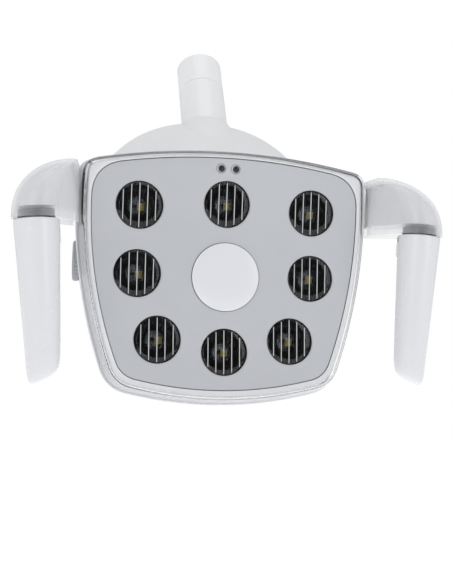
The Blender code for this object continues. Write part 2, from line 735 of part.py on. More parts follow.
def wing_base(inset, head_side):
    """The wing's outline seen from above, at its foot: a nose round the handle axis
    joined to the head by two straight sides; inset draws it in, and head_side moves
    the edge next to the head."""
    nose = Vector((HANDLE_TOP.x, HANDLE_TOP.y))
    front = Vector(WING_FRONT_EDGE)
    back = Vector(WING_BACK_EDGE)

    def tangent_angle(edge, sense):
        away = edge - nose
        return math.atan2(away.y, away.x) + sense * math.acos(WING_NOSE_RADIUS / away.length)

    first = tangent_angle(front, 1) - 2 * math.pi
    last = tangent_angle(back, -1)
    if first > last:
        first -= 2 * math.pi
    while last - first > 2 * math.pi:
        first += 2 * math.pi
    radius = WING_NOSE_RADIUS - inset
    arc = [nose + Vector((math.cos(a), math.sin(a))) * radius
           for a in (first + (last - first) * i / 10 for i in range(11))]

    def head_end(edge, start, sense):
        """Where a side, drawn in, meets the edge next to the head."""
        along = (edge - start).normalized()
        drawn_in = edge + Vector((along.y, -along.x)) * (sense * inset)
        share = (edge.x + head_side - start.x) / (drawn_in.x - start.x)
        return start.lerp(drawn_in, share)

    front_edge = head_end(front, arc[0], 1)
    back_edge = head_end(back, arc[-1], -1)
    thirds = (1 / 3, 2 / 3)
    return ([front_edge] + [front_edge.lerp(arc[0], t) for t in thirds] + arc
            + [arc[-1].lerp(back_edge, t) for t in thirds] + [back_edge])


def wing_loops(side, inset, foot, head_side=0.0):
    """The wing's level sections from its sloping foot to its rounded top."""
    base = wing_base(inset, head_side)
    height = WING_HEIGHT - 1.6 * inset
    slope = math.tan(HANDLE_LEAN)
    inner_x = WING_INNER_X + 1.2 * inset
    middle_y = 1.0
    loops = []
    heights = [(level, 1.0) for level in sorted({foot, CORE_BOTTOM})] + [(CORE_BOTTOM + 3.7, 0.6)]
    heights += [(WING_SPRING + height * math.sin(math.radians(a)), 0.0) for a in (24, 42, 57, 70, 80)]
    for z, tilt in heights:
        rise = max(0.0, (z - WING_SPRING) / height)
        reach = math.sqrt(max(0.0, 1 - rise * rise))
        spread = 0.35 + 0.65 * reach
        loop = []
        for p in base:
            x = inner_x + (p.x - inner_x) * reach
            y = middle_y + (p.y - middle_y) * spread
            loop.append(Vector((side * x, y, z - tilt * (p.x - HANDLE_TOP.x) * slope)))
        loops.append(loop)
    return loops


def make_wing(name, side):
    """One wing: the clear skin, the white core, and the steel peg and dark collar
    that locate the handle."""
    skin = loft("wing_skin_" + name, wing_loops(side, 0, WING_BOTTOM))
    combine(skin, loft("inside", wing_loops(side, WING_SKIN, WING_BOTTOM - 5, head_side=-6)))
    core = loft("wing_core_" + name, wing_loops(side, WING_SKIN + 1.0, CORE_BOTTOM, head_side=0.8))
    frame = handle_frame(side)
    combine(core, turned("stud_hole", [(6 + GAP, -20.5), (6 + GAP, 10)], frame, 20))
    peg = turned("handle_peg_" + name, [(6, -20), (6, -6.1), (PEG_RADIUS, -6.1), (PEG_RADIUS, PEG_LENGTH - 2),
                                        (PEG_RADIUS - 2, PEG_LENGTH)], frame, 16)
    collar = turned("handle_collar_" + name, [(PEG_RADIUS + GAP, -5.9), (12.3, -5.9), (12.8, -5.4),
                                              (12.8, -0.2), (PEG_RADIUS + GAP, -0.2)], frame, 20, ring=True)
    return [(skin, "clear_plastic"), (core, "white_plastic"), (peg, "steel"), (collar, "dark_plastic")]


def make_grip(name, side):
    """One pull-off handle: tapered, with a slanted rounded end and a blind bore."""
    frame = handle_frame(side)
    rows = [(0.9, 0.0, 0.965), (1.5, 0.0, 1.0), (28, 0.0, 1.0), (56, 0.0, 1.0), (82, 0.1, 1.0),
            (95, 0.3, 1.0), (102, HANDLE_END_SLANT, 0.99), (106.5, HANDLE_END_SLANT, 0.92),
            (109, HANDLE_END_SLANT, 0.78), (HANDLE_LENGTH, HANDLE_END_SLANT, 0.55)]
    loops = []
    for along, slant, fullness in rows:
        radius = (HANDLE_RADIUS - HANDLE_TAPER * along) * fullness
        angles = [2 * math.pi * i / 28 for i in range(28)]
        loops.append([frame @ Vector((radius * math.cos(a), radius * math.sin(a),
                                      along + slant * radius * math.cos(a))) for a in angles])
    grip = loft("handle_" + name, loops)
    bore = turned("bore", [(HANDLE_BORE, -5), (HANDLE_BORE, PEG_LENGTH + 4)], frame, 20)
    width, length, _ = BUTTON_SIZE
    pocket = block("pocket", (5, -width / 2 - GAP, BUTTON_TOP - 2 * GAP),
                   (20, width / 2 + GAP, BUTTON_TOP + length + GAP), button_frame(side))
    return combine(grip, combine(bore, pocket, "UNION"))


def make_release(name, side):
    """The sprung button that lets a handle off its peg."""
    width, length, depth = BUTTON_SIZE
    outer = HANDLE_RADIUS + 0.6
    return block("handle_release_" + name, (outer - depth, -width / 2, BUTTON_TOP),
                 (outer, width / 2, BUTTON_TOP + length), button_frame(side), chamfer=0.6)


# ---------------------------------------------------------------- assembly

def main():
    for thing in list(bpy.data.objects):
        bpy.data.objects.remove(thing)
    bodies = make_bodies()
    materials = {name: make_material(name) for name in MATERIALS}
    pieces = [
        ("arm", make_arm_socket(), "white_paint"),
        ("arm", make_friction_screw(), "steel"),
        ("arm", make_swivel_bush(), "bearing_plastic"),
        ("neck", make_neck(), "white_paint"),
        ("neck", make_retainer(), "steel"),
        ("head", make_rear_casing(), "white_plastic"),
        ("head", make_chassis(), "aluminium"),
        ("head", make_tilt_bracket(), "steel"),
        ("head", make_driver_board(), "circuit_board"),
        ("head", make_dimmer(), "dark_plastic"),
        ("head", make_face_panel(), "silver_paint"),
        ("head", make_badge(), "badge_white"),
        ("head", make_front_bezel(), "white_plastic"),
        ("head", make_clear_rim(), "clear_plastic"),
        ("knob", make_knob(), "grey_plastic"),
    ]
    pieces += [("head", piece, material) for piece, material in make_tilt_hardware()]
    pieces += [("head", piece, material) for piece, material in make_lamps()]
    pieces += [("head", piece, material) for piece, material in make_sensors()]
    for name, side in SIDES.items():
        pieces += [("head", piece, material) for piece, material in make_wing(name, side)]
        pieces.append(("grip_" + name, make_grip(name, side), "white_plastic"))
        pieces.append(("release_" + name, make_release(name, side), "white_plastic"))
    for body, piece, material in pieces:
        place(piece, bodies[body], materials[material])


main()
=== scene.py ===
"""Looks of the dental operating light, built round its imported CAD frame.

Shapes are drawn in face coordinates, in millimetres: origin at the middle of the
face panel, +X to the right of someone facing the lamp, +Y back into the lamp and
+Z up. seat() moves each finished piece into the frame, in metres, and makes it
ride on its body.
"""

import json
import math

import bmesh
import bpy
from mathutils import Matrix, Vector
from mathutils.bvhtree import BVHTree

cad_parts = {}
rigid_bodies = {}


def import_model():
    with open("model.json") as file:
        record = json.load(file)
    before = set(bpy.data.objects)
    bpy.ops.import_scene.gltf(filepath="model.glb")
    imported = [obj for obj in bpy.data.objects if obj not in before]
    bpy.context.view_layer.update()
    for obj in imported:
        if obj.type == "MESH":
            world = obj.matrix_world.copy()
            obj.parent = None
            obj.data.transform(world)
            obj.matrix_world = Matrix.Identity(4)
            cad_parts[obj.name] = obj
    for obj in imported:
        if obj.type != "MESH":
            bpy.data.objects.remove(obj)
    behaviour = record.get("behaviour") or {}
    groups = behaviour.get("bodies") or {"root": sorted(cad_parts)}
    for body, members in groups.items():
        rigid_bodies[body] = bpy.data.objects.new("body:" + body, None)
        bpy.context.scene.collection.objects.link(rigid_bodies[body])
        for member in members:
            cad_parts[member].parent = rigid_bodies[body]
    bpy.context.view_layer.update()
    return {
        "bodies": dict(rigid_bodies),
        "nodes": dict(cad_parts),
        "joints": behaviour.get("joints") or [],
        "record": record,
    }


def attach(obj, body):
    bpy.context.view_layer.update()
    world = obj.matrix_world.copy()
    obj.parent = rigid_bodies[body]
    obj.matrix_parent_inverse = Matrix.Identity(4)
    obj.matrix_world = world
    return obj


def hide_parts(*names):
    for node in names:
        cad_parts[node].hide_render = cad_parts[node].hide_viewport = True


MM = 0.001
GAP = 0.3
ROUND = 72                      # sides of an ordinary round piece
CORNER_STEPS = 10
SIDE_STEPS = 14
SIDES = {"left": -1, "right": 1}

# Camera: where it stands in face coordinates, and how it is turned, in degrees
CAMERA_PLACE = Vector((-134.97, -607.34, -36.8))
CAMERA_AZIMUTH = -12.592
CAMERA_ELEVATION = -2.343
CAMERA_ROLL = 1.121
CAMERA_LENS = 50.0

# Studio: brightness of the surround straight in front of the lamp and all round it
STUDIO_FRONT = 0.05
STUDIO_ROUND = 0.66
FLOOR_GLOW = 0.45
FLOOR_HEIGHT = -0.85            # metres, below the arm socket
FLOOR_HALF_SIZE = 12

# Neck and arm socket, measured along the neck's axis from the tilt pivot
NECK_LEAN = math.radians(29.0)
NECK_RADIUS = 20.2
TILT_PIVOT = Vector((0, 83.6, 113.6))
NECK_SHOULDER = 70.0
SPIGOT_TOP = 87.0
SPIGOT_RADIUS = 13.9
SOCKET_TOP = 100.5
SCREW_HEIGHT = 80.0
SOCKET_BORE = 16.5
CABLE_BORE = 9.0
BARREL_RADIUS = 19.0
BARREL_HALF_WIDTH = 19.8
PIN_RADIUS = 5.0
WELL_HALF_WIDTH = 20.4
WELL_WALL = 2.3
TILT_RANGE = math.radians(60.0)

# Face: (half width at top, top, top sag, half width at bottom, bottom, bottom sag,
# side bulge, top corner, bottom corner)
PANEL = (102.2, 91.0, 11.7, 78.9, -86.4, 11.0, 9.2, 20.2, 10.3)
RIM_FRONT = (108.0, 95.5, 12.5, 84.5, -93.4, 12.4, 9.6, 9.0, 12.0)
RIM_REAR = (113.5, 98.5, 14.0, 89.0, -99.0, 13.0, 9.6, 11.0, 14.0)
CORNER_FULLNESS = 0.66
DISH_X = 0.000412
DISH_Z = 0.000581
PANEL_THICKNESS = 2.0
RIM_PROUD = 3.0
RIM_WALL = 1.8
RIM_LIP = 0.9
RIM_BACK = 9.0
BEZEL_PROUD = 0.6
BEZEL_LEDGE = 3.0
GAP_SHADOW_FOOT = 84.0                # a grey strip along the rim's top, above this height, is painted shadow of the gap between rim and casing
GAP_SHADOW_INSET = 0.3
GAP_SHADOW_WIDTH = 1.0

# Lamps and sensors in the face: (x, z)
LED_CENTRES = [(-67.4, 52.1), (0, 56.0), (67.4, 52.1), (-67.8, 0.9), (67.8, 0.9),
               (-51.7, -48.5), (0, -57.4), (51.7, -48.5)]
LED_HOLE = 18.1
LENS_RADIUS = 17.6
LENS_FRONT = 2.7
LENS_BACK = 4.4
RIB_PITCH = 6.2
RIB_WIDTH = 0.62
RIB_REACH = 16.7                # the ribs end on a circle of this radius
CUP_RADIUS = 20.6
CUP_SEAT = 18.2
CUP_DEPTH = 24.0
OPTIC_RADIUS = 8.6
OPTIC_CURVE = 13.0
OPTIC_BACK = 19.2
EMITTER_SIZE = 4.4
EMITTER_SHIFT = -3.4            # sideways from the lamp's axis
SENSOR_CENTRES = {"left": (-5.7, 83.2), "right": (5.7, 83.2)}
SENSOR_RADIUS = 3.3
SENSOR_EYE = 0.76               # the eye's share of its window
SENSOR_HIGHLIGHT_SHIFT = 0.45             # sideways from the middle of the window, so the pale cup shows on one side only as a painted highlight of the hole's lit wall
BADGE_RADIUS = 26.2
BADGE_BOSS = 12.0

# Rear casing
CASING_FRONT = RIM_BACK + 0.5
CASING_INSET = 2.6
CASING_WALL = 2.5
CASING_MIDDLE_Z = 30.0          # the sections are drawn round this height
CASING_FAIRING = 10             # rounds of smoothing along the depth
CASING_SCREWS = [(-62, 22), (62, 22), (-50, 104), (50, 104)]
HOOD_Y = 95.0
HOOD_BACK = 32.0
HOOD_HALF_WIDTH = 105.0
HOOD_TOP = 144.5
HOOD_BOTTOM = -15.0
HOOD_MIDDLE = 40.0
HOOD_POWER = 2.2
LOW_CURVE = 1.4
HOOD_CENTRE_Z = 70.0
TONGUE = [(40, 13, 106), (58, 19, 127), (72, 23, 140.5), (84, 24, 149),
          (95, 24.5, 151)]
PARTING = 17.0                  # depth of the groove round the casing
VENT_DEPTHS = (46, 54, 62, 70, 78)
VENT_HALF_WIDTH = 34.0
VENT_HALF_HEIGHT = 1.4

# Side wings that carry the handles
WING_INNER_X = 113.0
WING_BOTTOM = 34.0
WING_SPRING = 38.0
WING_HEIGHT = 42.0
WING_SKIN = 1.6
WING_FRONT_EDGE = (112.3, -10.0)
WING_BACK_EDGE = (115.6, 13.0)
CORE_BOTTOM = 41.3
SKIN_FACE_ON = 0.12             # how much of the clear skin shows, face on and edge on
SKIN_EDGE_ON = 0.70

# Handles, measured down the handle's axis from the foot of the wing
HANDLE_TOP = Vector((142.0, -38.4, 34.0))
HANDLE_LEAN = math.radians(4.2)
WING_NOSE_RADIUS = 17.0
HANDLE_RADIUS = 15.85
HANDLE_TAPER = 0.0425
HANDLE_END_SLANT = 0.44
HANDLE_BORE = 9.3
PEG_RADIUS = 9.0
PEG_LENGTH = 40.0
BUTTON_SIZE = (7.0, 13.0, 4.9)
BUTTON_TOP = 4.0
BUTTON_TURN = math.radians(154.5)
BUTTON_SHADOW_TOP = 2.0                 # top of a dark block above the button, down the handle, that paints the shadow in the gap at the button's upper end
BUTTON_SHADOW_FOOT = 5.9

# Brightness knob on the left side
KNOB_CENTRE = Vector((-108.9, 46.0, 12.0))
KNOB_RADIUS = 16.0
KNOB_THICKNESS = 5.0
KNOB_STEM = 3.0
KNOB_STEM_END = 92.0
KNOB_SEAT_RADIUS = 17.5
KNOB_RIBS = 30

NECK_AXIS = Vector((0, math.sin(NECK_LEAN), math.cos(NECK_LEAN)))
SOCKET_CENTRE = TILT_PIVOT + NECK_AXIS * SOCKET_TOP


# ---------------------------------------------------------------- shapes

def dish(x, z):
    """Depth of the slightly hollow face at a point."""
    return -DISH_X * x * x - DISH_Z * z * z


def smooth(t):
    """0 to 1 with level ends."""
    t = min(1.0, max(0.0, t))
    return t * t * (3 - 2 * t)


def bezier(a, b, c, d, t):
    """A point on a cubic curve."""
    s = 1 - t
    return a * s ** 3 + b * 3 * s * s * t + c * 3 * s * t * t + d * t ** 3


def half_outline(shape):
    """The right half of a face outline, from the top middle to the bottom middle."""
    top_half, top, top_sag, bottom_half, bottom, bottom_sag, bulge, top_corner, bottom_corner = shape
    top_end = Vector((top_half, top - top_sag))
    bottom_end = Vector((bottom_half, bottom + bottom_sag))
    side = bottom_end - top_end
    outward = Vector((-side.y, side.x)).normalized()

    def top_arc(x):
        return Vector((x, top - top_sag * (x / top_half) ** 2))

    def side_arc(s):
        return top_end + side * s + outward * (4 * s * (1 - s) * bulge)

    def bottom_arc(x):
        return Vector((x, bottom + bottom_sag * (x / bottom_half) ** 2))

    def corner(start, tip, end):
        return [bezier(start, start.lerp(tip, CORNER_FULLNESS), end.lerp(tip, CORNER_FULLNESS), end,
                       i / CORNER_STEPS) for i in range(1, CORNER_STEPS + 1)]

    first = top_half - top_corner
    top_share = top_corner / side.length
    bottom_share = 1 - bottom_corner / side.length
    last = bottom_half - bottom_corner
    points = [top_arc(first * i / SIDE_STEPS) for i in range(SIDE_STEPS + 1)]
    points += corner(points[-1], top_end, side_arc(top_share))
    points += [side_arc(top_share + (bottom_share - top_share) * i / SIDE_STEPS)
               for i in range(1, SIDE_STEPS + 1)]
    points += corner(points[-1], bottom_end, bottom_arc(last))
    points += [bottom_arc(last * (1 - i / SIDE_STEPS)) for i in range(1, SIDE_STEPS + 1)]
    return points


def outline(shape):
    """A closed face outline, clockwise from the top middle as seen from the front."""
    right = half_outline(shape)
    left = [Vector((-p.x, p.y)) for p in reversed(right[1:-1])]
    return right + left


def offset(points, distance):
    """A clockwise outline moved outwards by a distance."""
    moved = []
    for i, point in enumerate(points):
        along = (points[(i + 1) % len(points)] - points[i - 1]).normalized()
        moved.append(point + Vector((-along.y, along.x)) * distance)
    return moved


def at_depth(points, depth):
    """An outline in the face's plane, as points in space at a depth or on a surface."""
    return [Vector((p.x, depth(p.x, p.y) if callable(depth) else depth, p.y)) for p in points]


def on_dish(points, behind):
    """An outline laid on the hollow face, that far behind it."""
    return at_depth(points, lambda x, z: dish(x, z) + behind)


def frame_at(origin, axis):
    """The frame whose Z runs along axis, for turned pieces."""
    turn = Vector(axis).to_track_quat("Z", "Y").to_matrix().to_4x4()
    return Matrix.Translation(origin) @ turn


def lamp_frame(x, z):
    """Frame on a lamp's axis: Z pointing back, square to the hollow face, and Y up."""
    back = Vector((2 * DISH_X * x, 1, 2 * DISH_Z * z)).normalized()
    up = (Vector((0, 0, 1)) - back * back.z).normalized()
    turn = Matrix((up.cross(back), up, back)).transposed().to_4x4()
    return Matrix.Translation((x, dish(x, z), z)) @ turn


def handle_frame(side):
    """Frame on a handle's axis: X outwards from the lamp, Z down the handle."""
    down = Vector((-side * math.sin(HANDLE_LEAN), 0, -math.cos(HANDLE_LEAN)))
    outward = Vector((side * math.cos(HANDLE_LEAN), 0, -math.sin(HANDLE_LEAN)))
    turn = Matrix((outward, down.cross(outward), down)).transposed().to_4x4()
    return Matrix.Translation((side * HANDLE_TOP.x, HANDLE_TOP.y, HANDLE_TOP.z)) @ turn


def button_frame(side):
    """Frame of a release button: X out of the handle, Z down the handle."""
    frame = handle_frame(side)
    sense = 1 if frame.to_3x3().col[1].y > 0 else -1
    return frame @ Matrix.Rotation(sense * BUTTON_TURN, 4, "Z")


# ---------------------------------------------------------------- meshes

def new_piece(name, builder):
    """A scene object from a bmesh, with every face turned outwards."""
    bmesh.ops.recalc_face_normals(builder, faces=builder.faces)
    if builder.calc_volume(signed=True) < 0:
        bmesh.ops.reverse_faces(builder, faces=builder.faces)
    mesh = bpy.data.meshes.new(name)
    builder.to_mesh(mesh)
    builder.free()
    piece = bpy.data.objects.new(name, mesh)
    bpy.context.scene.collection.objects.link(piece)
    return piece


def loft(name, loops, ring=False):
    """Skin a row of loops; a ring joins the last to the first, others get end caps."""
    builder = bmesh.new()
    rows = [[builder.verts.new(p) for p in loop] for loop in loops]
    pairs = list(zip(rows, rows[1:]))
    if ring:
        pairs.append((rows[-1], rows[0]))
    for low, high in pairs:
        for i in range(len(low)):
            j = (i + 1) % len(low)
            builder.faces.new((low[i], low[j], high[j], high[i]))
    if not ring:
        builder.faces.new(rows[0])
        builder.faces.new(rows[-1])
    return new_piece(name, builder)


def circle(radius, height, frame, sides):
    """A loop of points about a frame's Z axis."""
    angles = [2 * math.pi * i / sides for i in range(sides)]
    return [frame @ Vector((radius * math.cos(a), radius * math.sin(a), height)) for a in angles]


def turned(name, profile, frame, sides=ROUND, ring=False):
    """A turned piece: (radius, height) points swept about the frame's Z axis."""
    return loft(name, [circle(radius, height, frame, sides) for radius, height in profile], ring)


def arc(centre, radius, start, end, steps=4):
    """(radius, height) points of a rounded corner in a turned profile, angles in degrees."""
    angles = [math.radians(start + (end - start) * i / steps) for i in range(steps + 1)]
    return [(centre[0] + radius * math.cos(a), centre[1] + radius * math.sin(a)) for a in angles]


def slab(name, low, high, frame, edge, segments=3):
    """A rectangular piece between two corners of a frame, with rounded edges."""
    builder = bmesh.new()
    bmesh.ops.create_cube(builder, size=1)
    size = Vector(high) - Vector(low)
    middle = (Vector(high) + Vector(low)) / 2
    bmesh.ops.transform(builder, verts=builder.verts,
                        matrix=Matrix.Translation(middle) @ Matrix.Diagonal((*size, 1)))
    if edge:
        bmesh.ops.bevel(builder, geom=builder.edges[:], offset=edge, segments=segments,
                        profile=0.5, affect="EDGES", clamp_overlap=True)
    bmesh.ops.transform(builder, verts=builder.verts, matrix=frame)
    return new_piece(name, builder)


def hull(name, points):
    """The convex solid around some points."""
    builder = bmesh.new()
    for point in points:
        builder.verts.new(point)
    bmesh.ops.remove_doubles(builder, verts=builder.verts[:], dist=0.01)
    bmesh.ops.convex_hull(builder, input=builder.verts[:])
    inner = [v for v in builder.verts if not v.link_faces]
    bmesh.ops.delete(builder, geom=inner, context="VERTS")
    bmesh.ops.dissolve_limit(builder, angle_limit=math.radians(0.5), verts=builder.verts[:],
                             edges=builder.edges[:])
    return new_piece(name, builder)


def combine(piece, other, operation="DIFFERENCE"):
    """Cut, join or intersect a piece with another, which is used up."""
    builder = bmesh.new()
    builder.from_mesh(piece.data)
    bmesh.ops.connect_verts_nonplanar(builder, angle_limit=math.radians(0.1), faces=builder.faces[:])
    builder.to_mesh(piece.data)
    builder.free()
    modifier = piece.modifiers.new("combine", "BOOLEAN")
    modifier.operation = operation
    modifier.object = other
    bpy.context.view_layer.update()
    seen = piece.evaluated_get(bpy.context.evaluated_depsgraph_get())
    result = bpy.data.meshes.new_from_object(seen)
    piece.modifiers.clear()
    old = piece.data
    piece.data = result
    bpy.data.meshes.remove(old)
    bpy.data.objects.remove(other)
    return piece


def merge(name, pieces):
    """Several closed pieces as one object."""
    builder = bmesh.new()
    for piece in pieces:
        builder.from_mesh(piece.data)
        bpy.data.objects.remove(piece)
    mesh = bpy.data.meshes.new(name)
    builder.to_mesh(mesh)
    builder.free()
    merged = bpy.data.objects.new(name, mesh)
    bpy.context.scene.collection.objects.link(merged)
    return merged


# ---------------------------------------------------------------- materials

def noise(tree, place, scale, detail=3.0):
    """A noise texture in object coordinates, scale in features per metre."""
    texture = tree.nodes.new("ShaderNodeTexNoise")
    texture.inputs["Scale"].default_value = scale
    texture.inputs["Detail"].default_value = detail
    tree.links.new(place.outputs["Object"], texture.inputs["Vector"])
    return texture.outputs["Fac"]


def spread(tree, value, low, high):
    """A noise value stretched to run from low to high."""
    remap = tree.nodes.new("ShaderNodeMapRange")
    remap.inputs["From Min"].default_value = 0.3
    remap.inputs["From Max"].default_value = 0.7
    remap.inputs["To Min"].default_value = low
    remap.inputs["To Max"].default_value = high
    tree.links.new(value, remap.inputs["Value"])
    return remap.outputs["Result"]


def make_material(name, colour, roughness, grain=600.0, relief=0.04, shade=0.03, gloss_shift=0.05,
                  stretch=None, **sockets):
    """A Principled material whose colour and roughness drift a little over the piece and
    whose surface carries a fine grain. Sockets are set by name, such as Metallic=1."""
    material = bpy.data.materials.new(name)
    material.use_nodes = True
    tree = material.node_tree
    shader = tree.nodes["Principled BSDF"]
    for socket, value in sockets.items():
        shader.inputs[socket.replace("_", " ")].default_value = value
    place = tree.nodes.new("ShaderNodeTexCoord")
    drift = noise(tree, place, 14.0, 4.0)
    mix = tree.nodes.new("ShaderNodeMix")
    mix.data_type = "RGBA"
    mix.inputs["A"].default_value = (*[c * (1 - shade) for c in colour], 1)
    mix.inputs["B"].default_value = (*[min(1.0, c * (1 + shade)) for c in colour], 1)
    tree.links.new(spread(tree, drift, 0, 1), mix.inputs["Factor"])
    tree.links.new(mix.outputs["Result"], shader.inputs["Base Color"])
    smear = noise(tree, place, 55.0, 5.0)
    tree.links.new(spread(tree, smear, roughness - gloss_shift / 2, roughness + gloss_shift / 2),
                   shader.inputs["Roughness"])
    texture = tree.nodes.new("ShaderNodeTexNoise")
    texture.inputs["Scale"].default_value = grain
    texture.inputs["Detail"].default_value = 2.0
    if stretch:
        mapping = tree.nodes.new("ShaderNodeMapping")
        mapping.inputs["Scale"].default_value = stretch
        tree.links.new(place.outputs["Object"], mapping.inputs["Vector"])
        tree.links.new(mapping.outputs["Vector"], texture.inputs["Vector"])
    else:
        tree.links.new(place.outputs["Object"], texture.inputs["Vector"])
    bump = tree.nodes.new("ShaderNodeBump")
    bump.inputs["Strength"].default_value = relief
    bump.inputs["Distance"].default_value = 0.0003
    tree.links.new(texture.outputs["Fac"], bump.inputs["Height"])
    tree.links.new(bump.outputs["Normal"], shader.inputs["Normal"])
    return material


def thin_clear(material):
    """Turn a finish into a thin clear skin, clearer face on than towards its edges."""
    tree = material.node_tree
    facing = tree.nodes.new("ShaderNodeLayerWeight")
    facing.inputs["Blend"].default_value = 0.35
    remap = tree.nodes.new("ShaderNodeMapRange")
    remap.inputs["To Min"].default_value = SKIN_FACE_ON
    remap.inputs["To Max"].default_value = SKIN_EDGE_ON
    tree.links.new(facing.outputs["Facing"], remap.inputs["Value"])
    tree.links.new(remap.outputs["Result"], tree.nodes["Principled BSDF"].inputs["Alpha"])
    return material


def make_materials():
    """Every finish on the lamp, by the name of its slot in the record or its own name."""
    return {
        "white_plastic": make_material("white_plastic", (0.82, 0.825, 0.84), 0.26, grain=900, relief=0.05,
                                       shade=0.012, Coat_Weight=0.25, Coat_Roughness=0.12),
        "casing_white": make_material("casing_white", (0.88, 0.885, 0.89), 0.34, grain=1400, relief=0.10,
                                      shade=0.012),
        "white_paint": make_material("white_paint", (0.92, 0.925, 0.93), 0.30, grain=700, relief=0.09,
                                     shade=0.015, Coat_Weight=0.3, Coat_Roughness=0.15),
        "silver_paint": make_material("silver_paint", (0.61, 0.622, 0.65), 0.42, grain=3500, relief=0.12,
                                      shade=0.02, Metallic=0.25),
        "clear_plastic": make_material("clear_plastic", (0.95, 0.955, 0.97), 0.05, grain=120, relief=0.03,
                                       shade=0.01, gloss_shift=0.03, Transmission_Weight=1.0, IOR=1.49),
        "clear_skin": thin_clear(make_material("clear_skin", (0.90, 0.905, 0.92), 0.06, grain=120,
                                               relief=0.03, shade=0.01, gloss_shift=0.03)),
        "lens_plastic": make_material("lens_plastic", (0.93, 0.95, 0.97), 0.03, grain=90, relief=0.02,
                                      shade=0.01, gloss_shift=0.02, Transmission_Weight=1.0, IOR=1.49),
        "black_gloss": make_material("black_gloss", (0.008, 0.007, 0.008), 0.10, grain=300, relief=0.04,
                                     shade=0.2),
        "sensor_black": make_material("sensor_black", (0.015, 0.014, 0.018), 0.08, grain=300, relief=0.03,
                                      shade=0.2),
        "dark_plastic": make_material("dark_plastic", (0.04, 0.04, 0.045), 0.22, grain=900, relief=0.08,
                                      shade=0.1),
        "grey_plastic": make_material("grey_plastic", (0.35, 0.36, 0.38), 0.42, grain=1500, relief=0.18,
                                      shade=0.04),
        "aluminium": make_material("aluminium", (0.70, 0.71, 0.72), 0.36, grain=500, relief=0.12,
                                   stretch=(1, 1, 14), Metallic=1.0),
        "steel": make_material("steel", (0.62, 0.62, 0.63), 0.25, grain=500, relief=0.10,
                               stretch=(14, 1, 1), Metallic=1.0),
        "bearing_plastic": make_material("bearing_plastic", (0.75, 0.74, 0.70), 0.45, relief=0.08),
        "circuit_board": make_material("circuit_board", (0.05, 0.22, 0.12), 0.40, grain=220, relief=0.25,
                                       shade=0.15),
        "led_yellow": make_material("led_yellow", (0.80, 0.58, 0.06), 0.40, grain=2500, relief=0.15,
                                    shade=0.08),
        "badge_white": make_material("badge_white", (0.85, 0.85, 0.88), 0.22, grain=700, relief=0.03,
                                     shade=0.008, Coat_Weight=0.4, Coat_Roughness=0.08),
        "rib_white": make_material("rib_white", (0.76, 0.76, 0.78), 0.35, grain=900, relief=0.05),
        # Painted shadow: a near-black finish for the thin strips that stand in for the shade in gaps round
        # the face and the badge.
        "gap_shadow_black": make_material("gap_shadow_black", (0.06, 0.06, 0.068), 0.6, grain=1500, relief=0.3,
                                      shade=0.1),
    }


def seat(piece, body, material, nodes=(), sharp=32):
    """Put a finished piece in the frame on its body, with its finish."""
    piece.data.transform(Matrix.Scale(MM, 4) @ Matrix.Translation(-SOCKET_CENTRE))
    piece.data.materials.clear()
    piece.data.materials.append(MATERIAL[material])
    piece.data.shade_smooth()
    piece.data.set_sharp_from_angle(angle=math.radians(sharp))
    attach(piece, body)
    if nodes:
        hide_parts(*nodes)
    return piece


# ---------------------------------------------------------------- arm and neck

def make_arm_tube():
    """The end tube of the arm, with rounded lips and its screw hole."""
    frame = frame_at(TILT_PIVOT, NECK_AXIS)
    low, high = NECK_SHOULDER + GAP, SOCKET_TOP
    profile = [(SOCKET_BORE, low + 0.3), (SOCKET_BORE + 0.3, low)]
    profile += arc((NECK_RADIUS - 0.7, low + 0.7), 0.7, -90, 0)
    profile += arc((NECK_RADIUS - 1.2, high - 1.2), 1.2, 0, 90, 6)
    profile += [(SOCKET_BORE + 0.5, high), (SOCKET_BORE, high - 0.5)]
    tube = turned("arm_tube", profile, frame, 96, ring=True)
    outward = Vector((0, math.cos(NECK_LEAN), -math.sin(NECK_LEAN)))
    screw = frame_at(TILT_PIVOT + NECK_AXIS * SCREW_HEIGHT, outward)
    combine(tube, turned("hole", [(2.8, 14), (2.8, 19.6), (3.6, 20.6), (3.6, 25)], screw, 32))
    seat(tube, "arm", "white_paint", nodes=["arm_socket_tube"])


def make_neck():
    """The neck: spigot, painted tube and the cross barrel that turns on the tilt pins."""
    frame = frame_at(TILT_PIVOT, NECK_AXIS)
    profile = [(17, 13), (NECK_RADIUS, 16)]
    profile += arc((NECK_RADIUS - 0.7, NECK_SHOULDER - 0.7), 0.7, 0, 90)
    profile += [(SPIGOT_RADIUS + 0.3, NECK_SHOULDER), (SPIGOT_RADIUS, NECK_SHOULDER + 0.3),
                (SPIGOT_RADIUS, SPIGOT_TOP - 0.5), (SPIGOT_RADIUS - 0.5, SPIGOT_TOP)]
    neck = turned("neck_shell", profile, frame, 96)
    across = frame_at(TILT_PIVOT, (1, 0, 0))
    edge = BARREL_HALF_WIDTH
    barrel = turned("barrel", arc((BARREL_RADIUS - 1, 1 - edge), 1, -90, 0)
                    + arc((BARREL_RADIUS - 1, edge - 1), 1, 0, 90), across, 96)
    combine(neck, barrel, "UNION")
    combine(neck, turned("bore", [(CABLE_BORE, -30), (CABLE_BORE, SOCKET_TOP)], frame, 48))
    pin_bore = PIN_RADIUS + GAP
    combine(neck, turned("pin_bore", [(pin_bore, -30), (pin_bore, 30)], across, 48))
    seat(neck, "neck", "white_paint", nodes=["neck_tube"])


# ---------------------------------------------------------------- casing

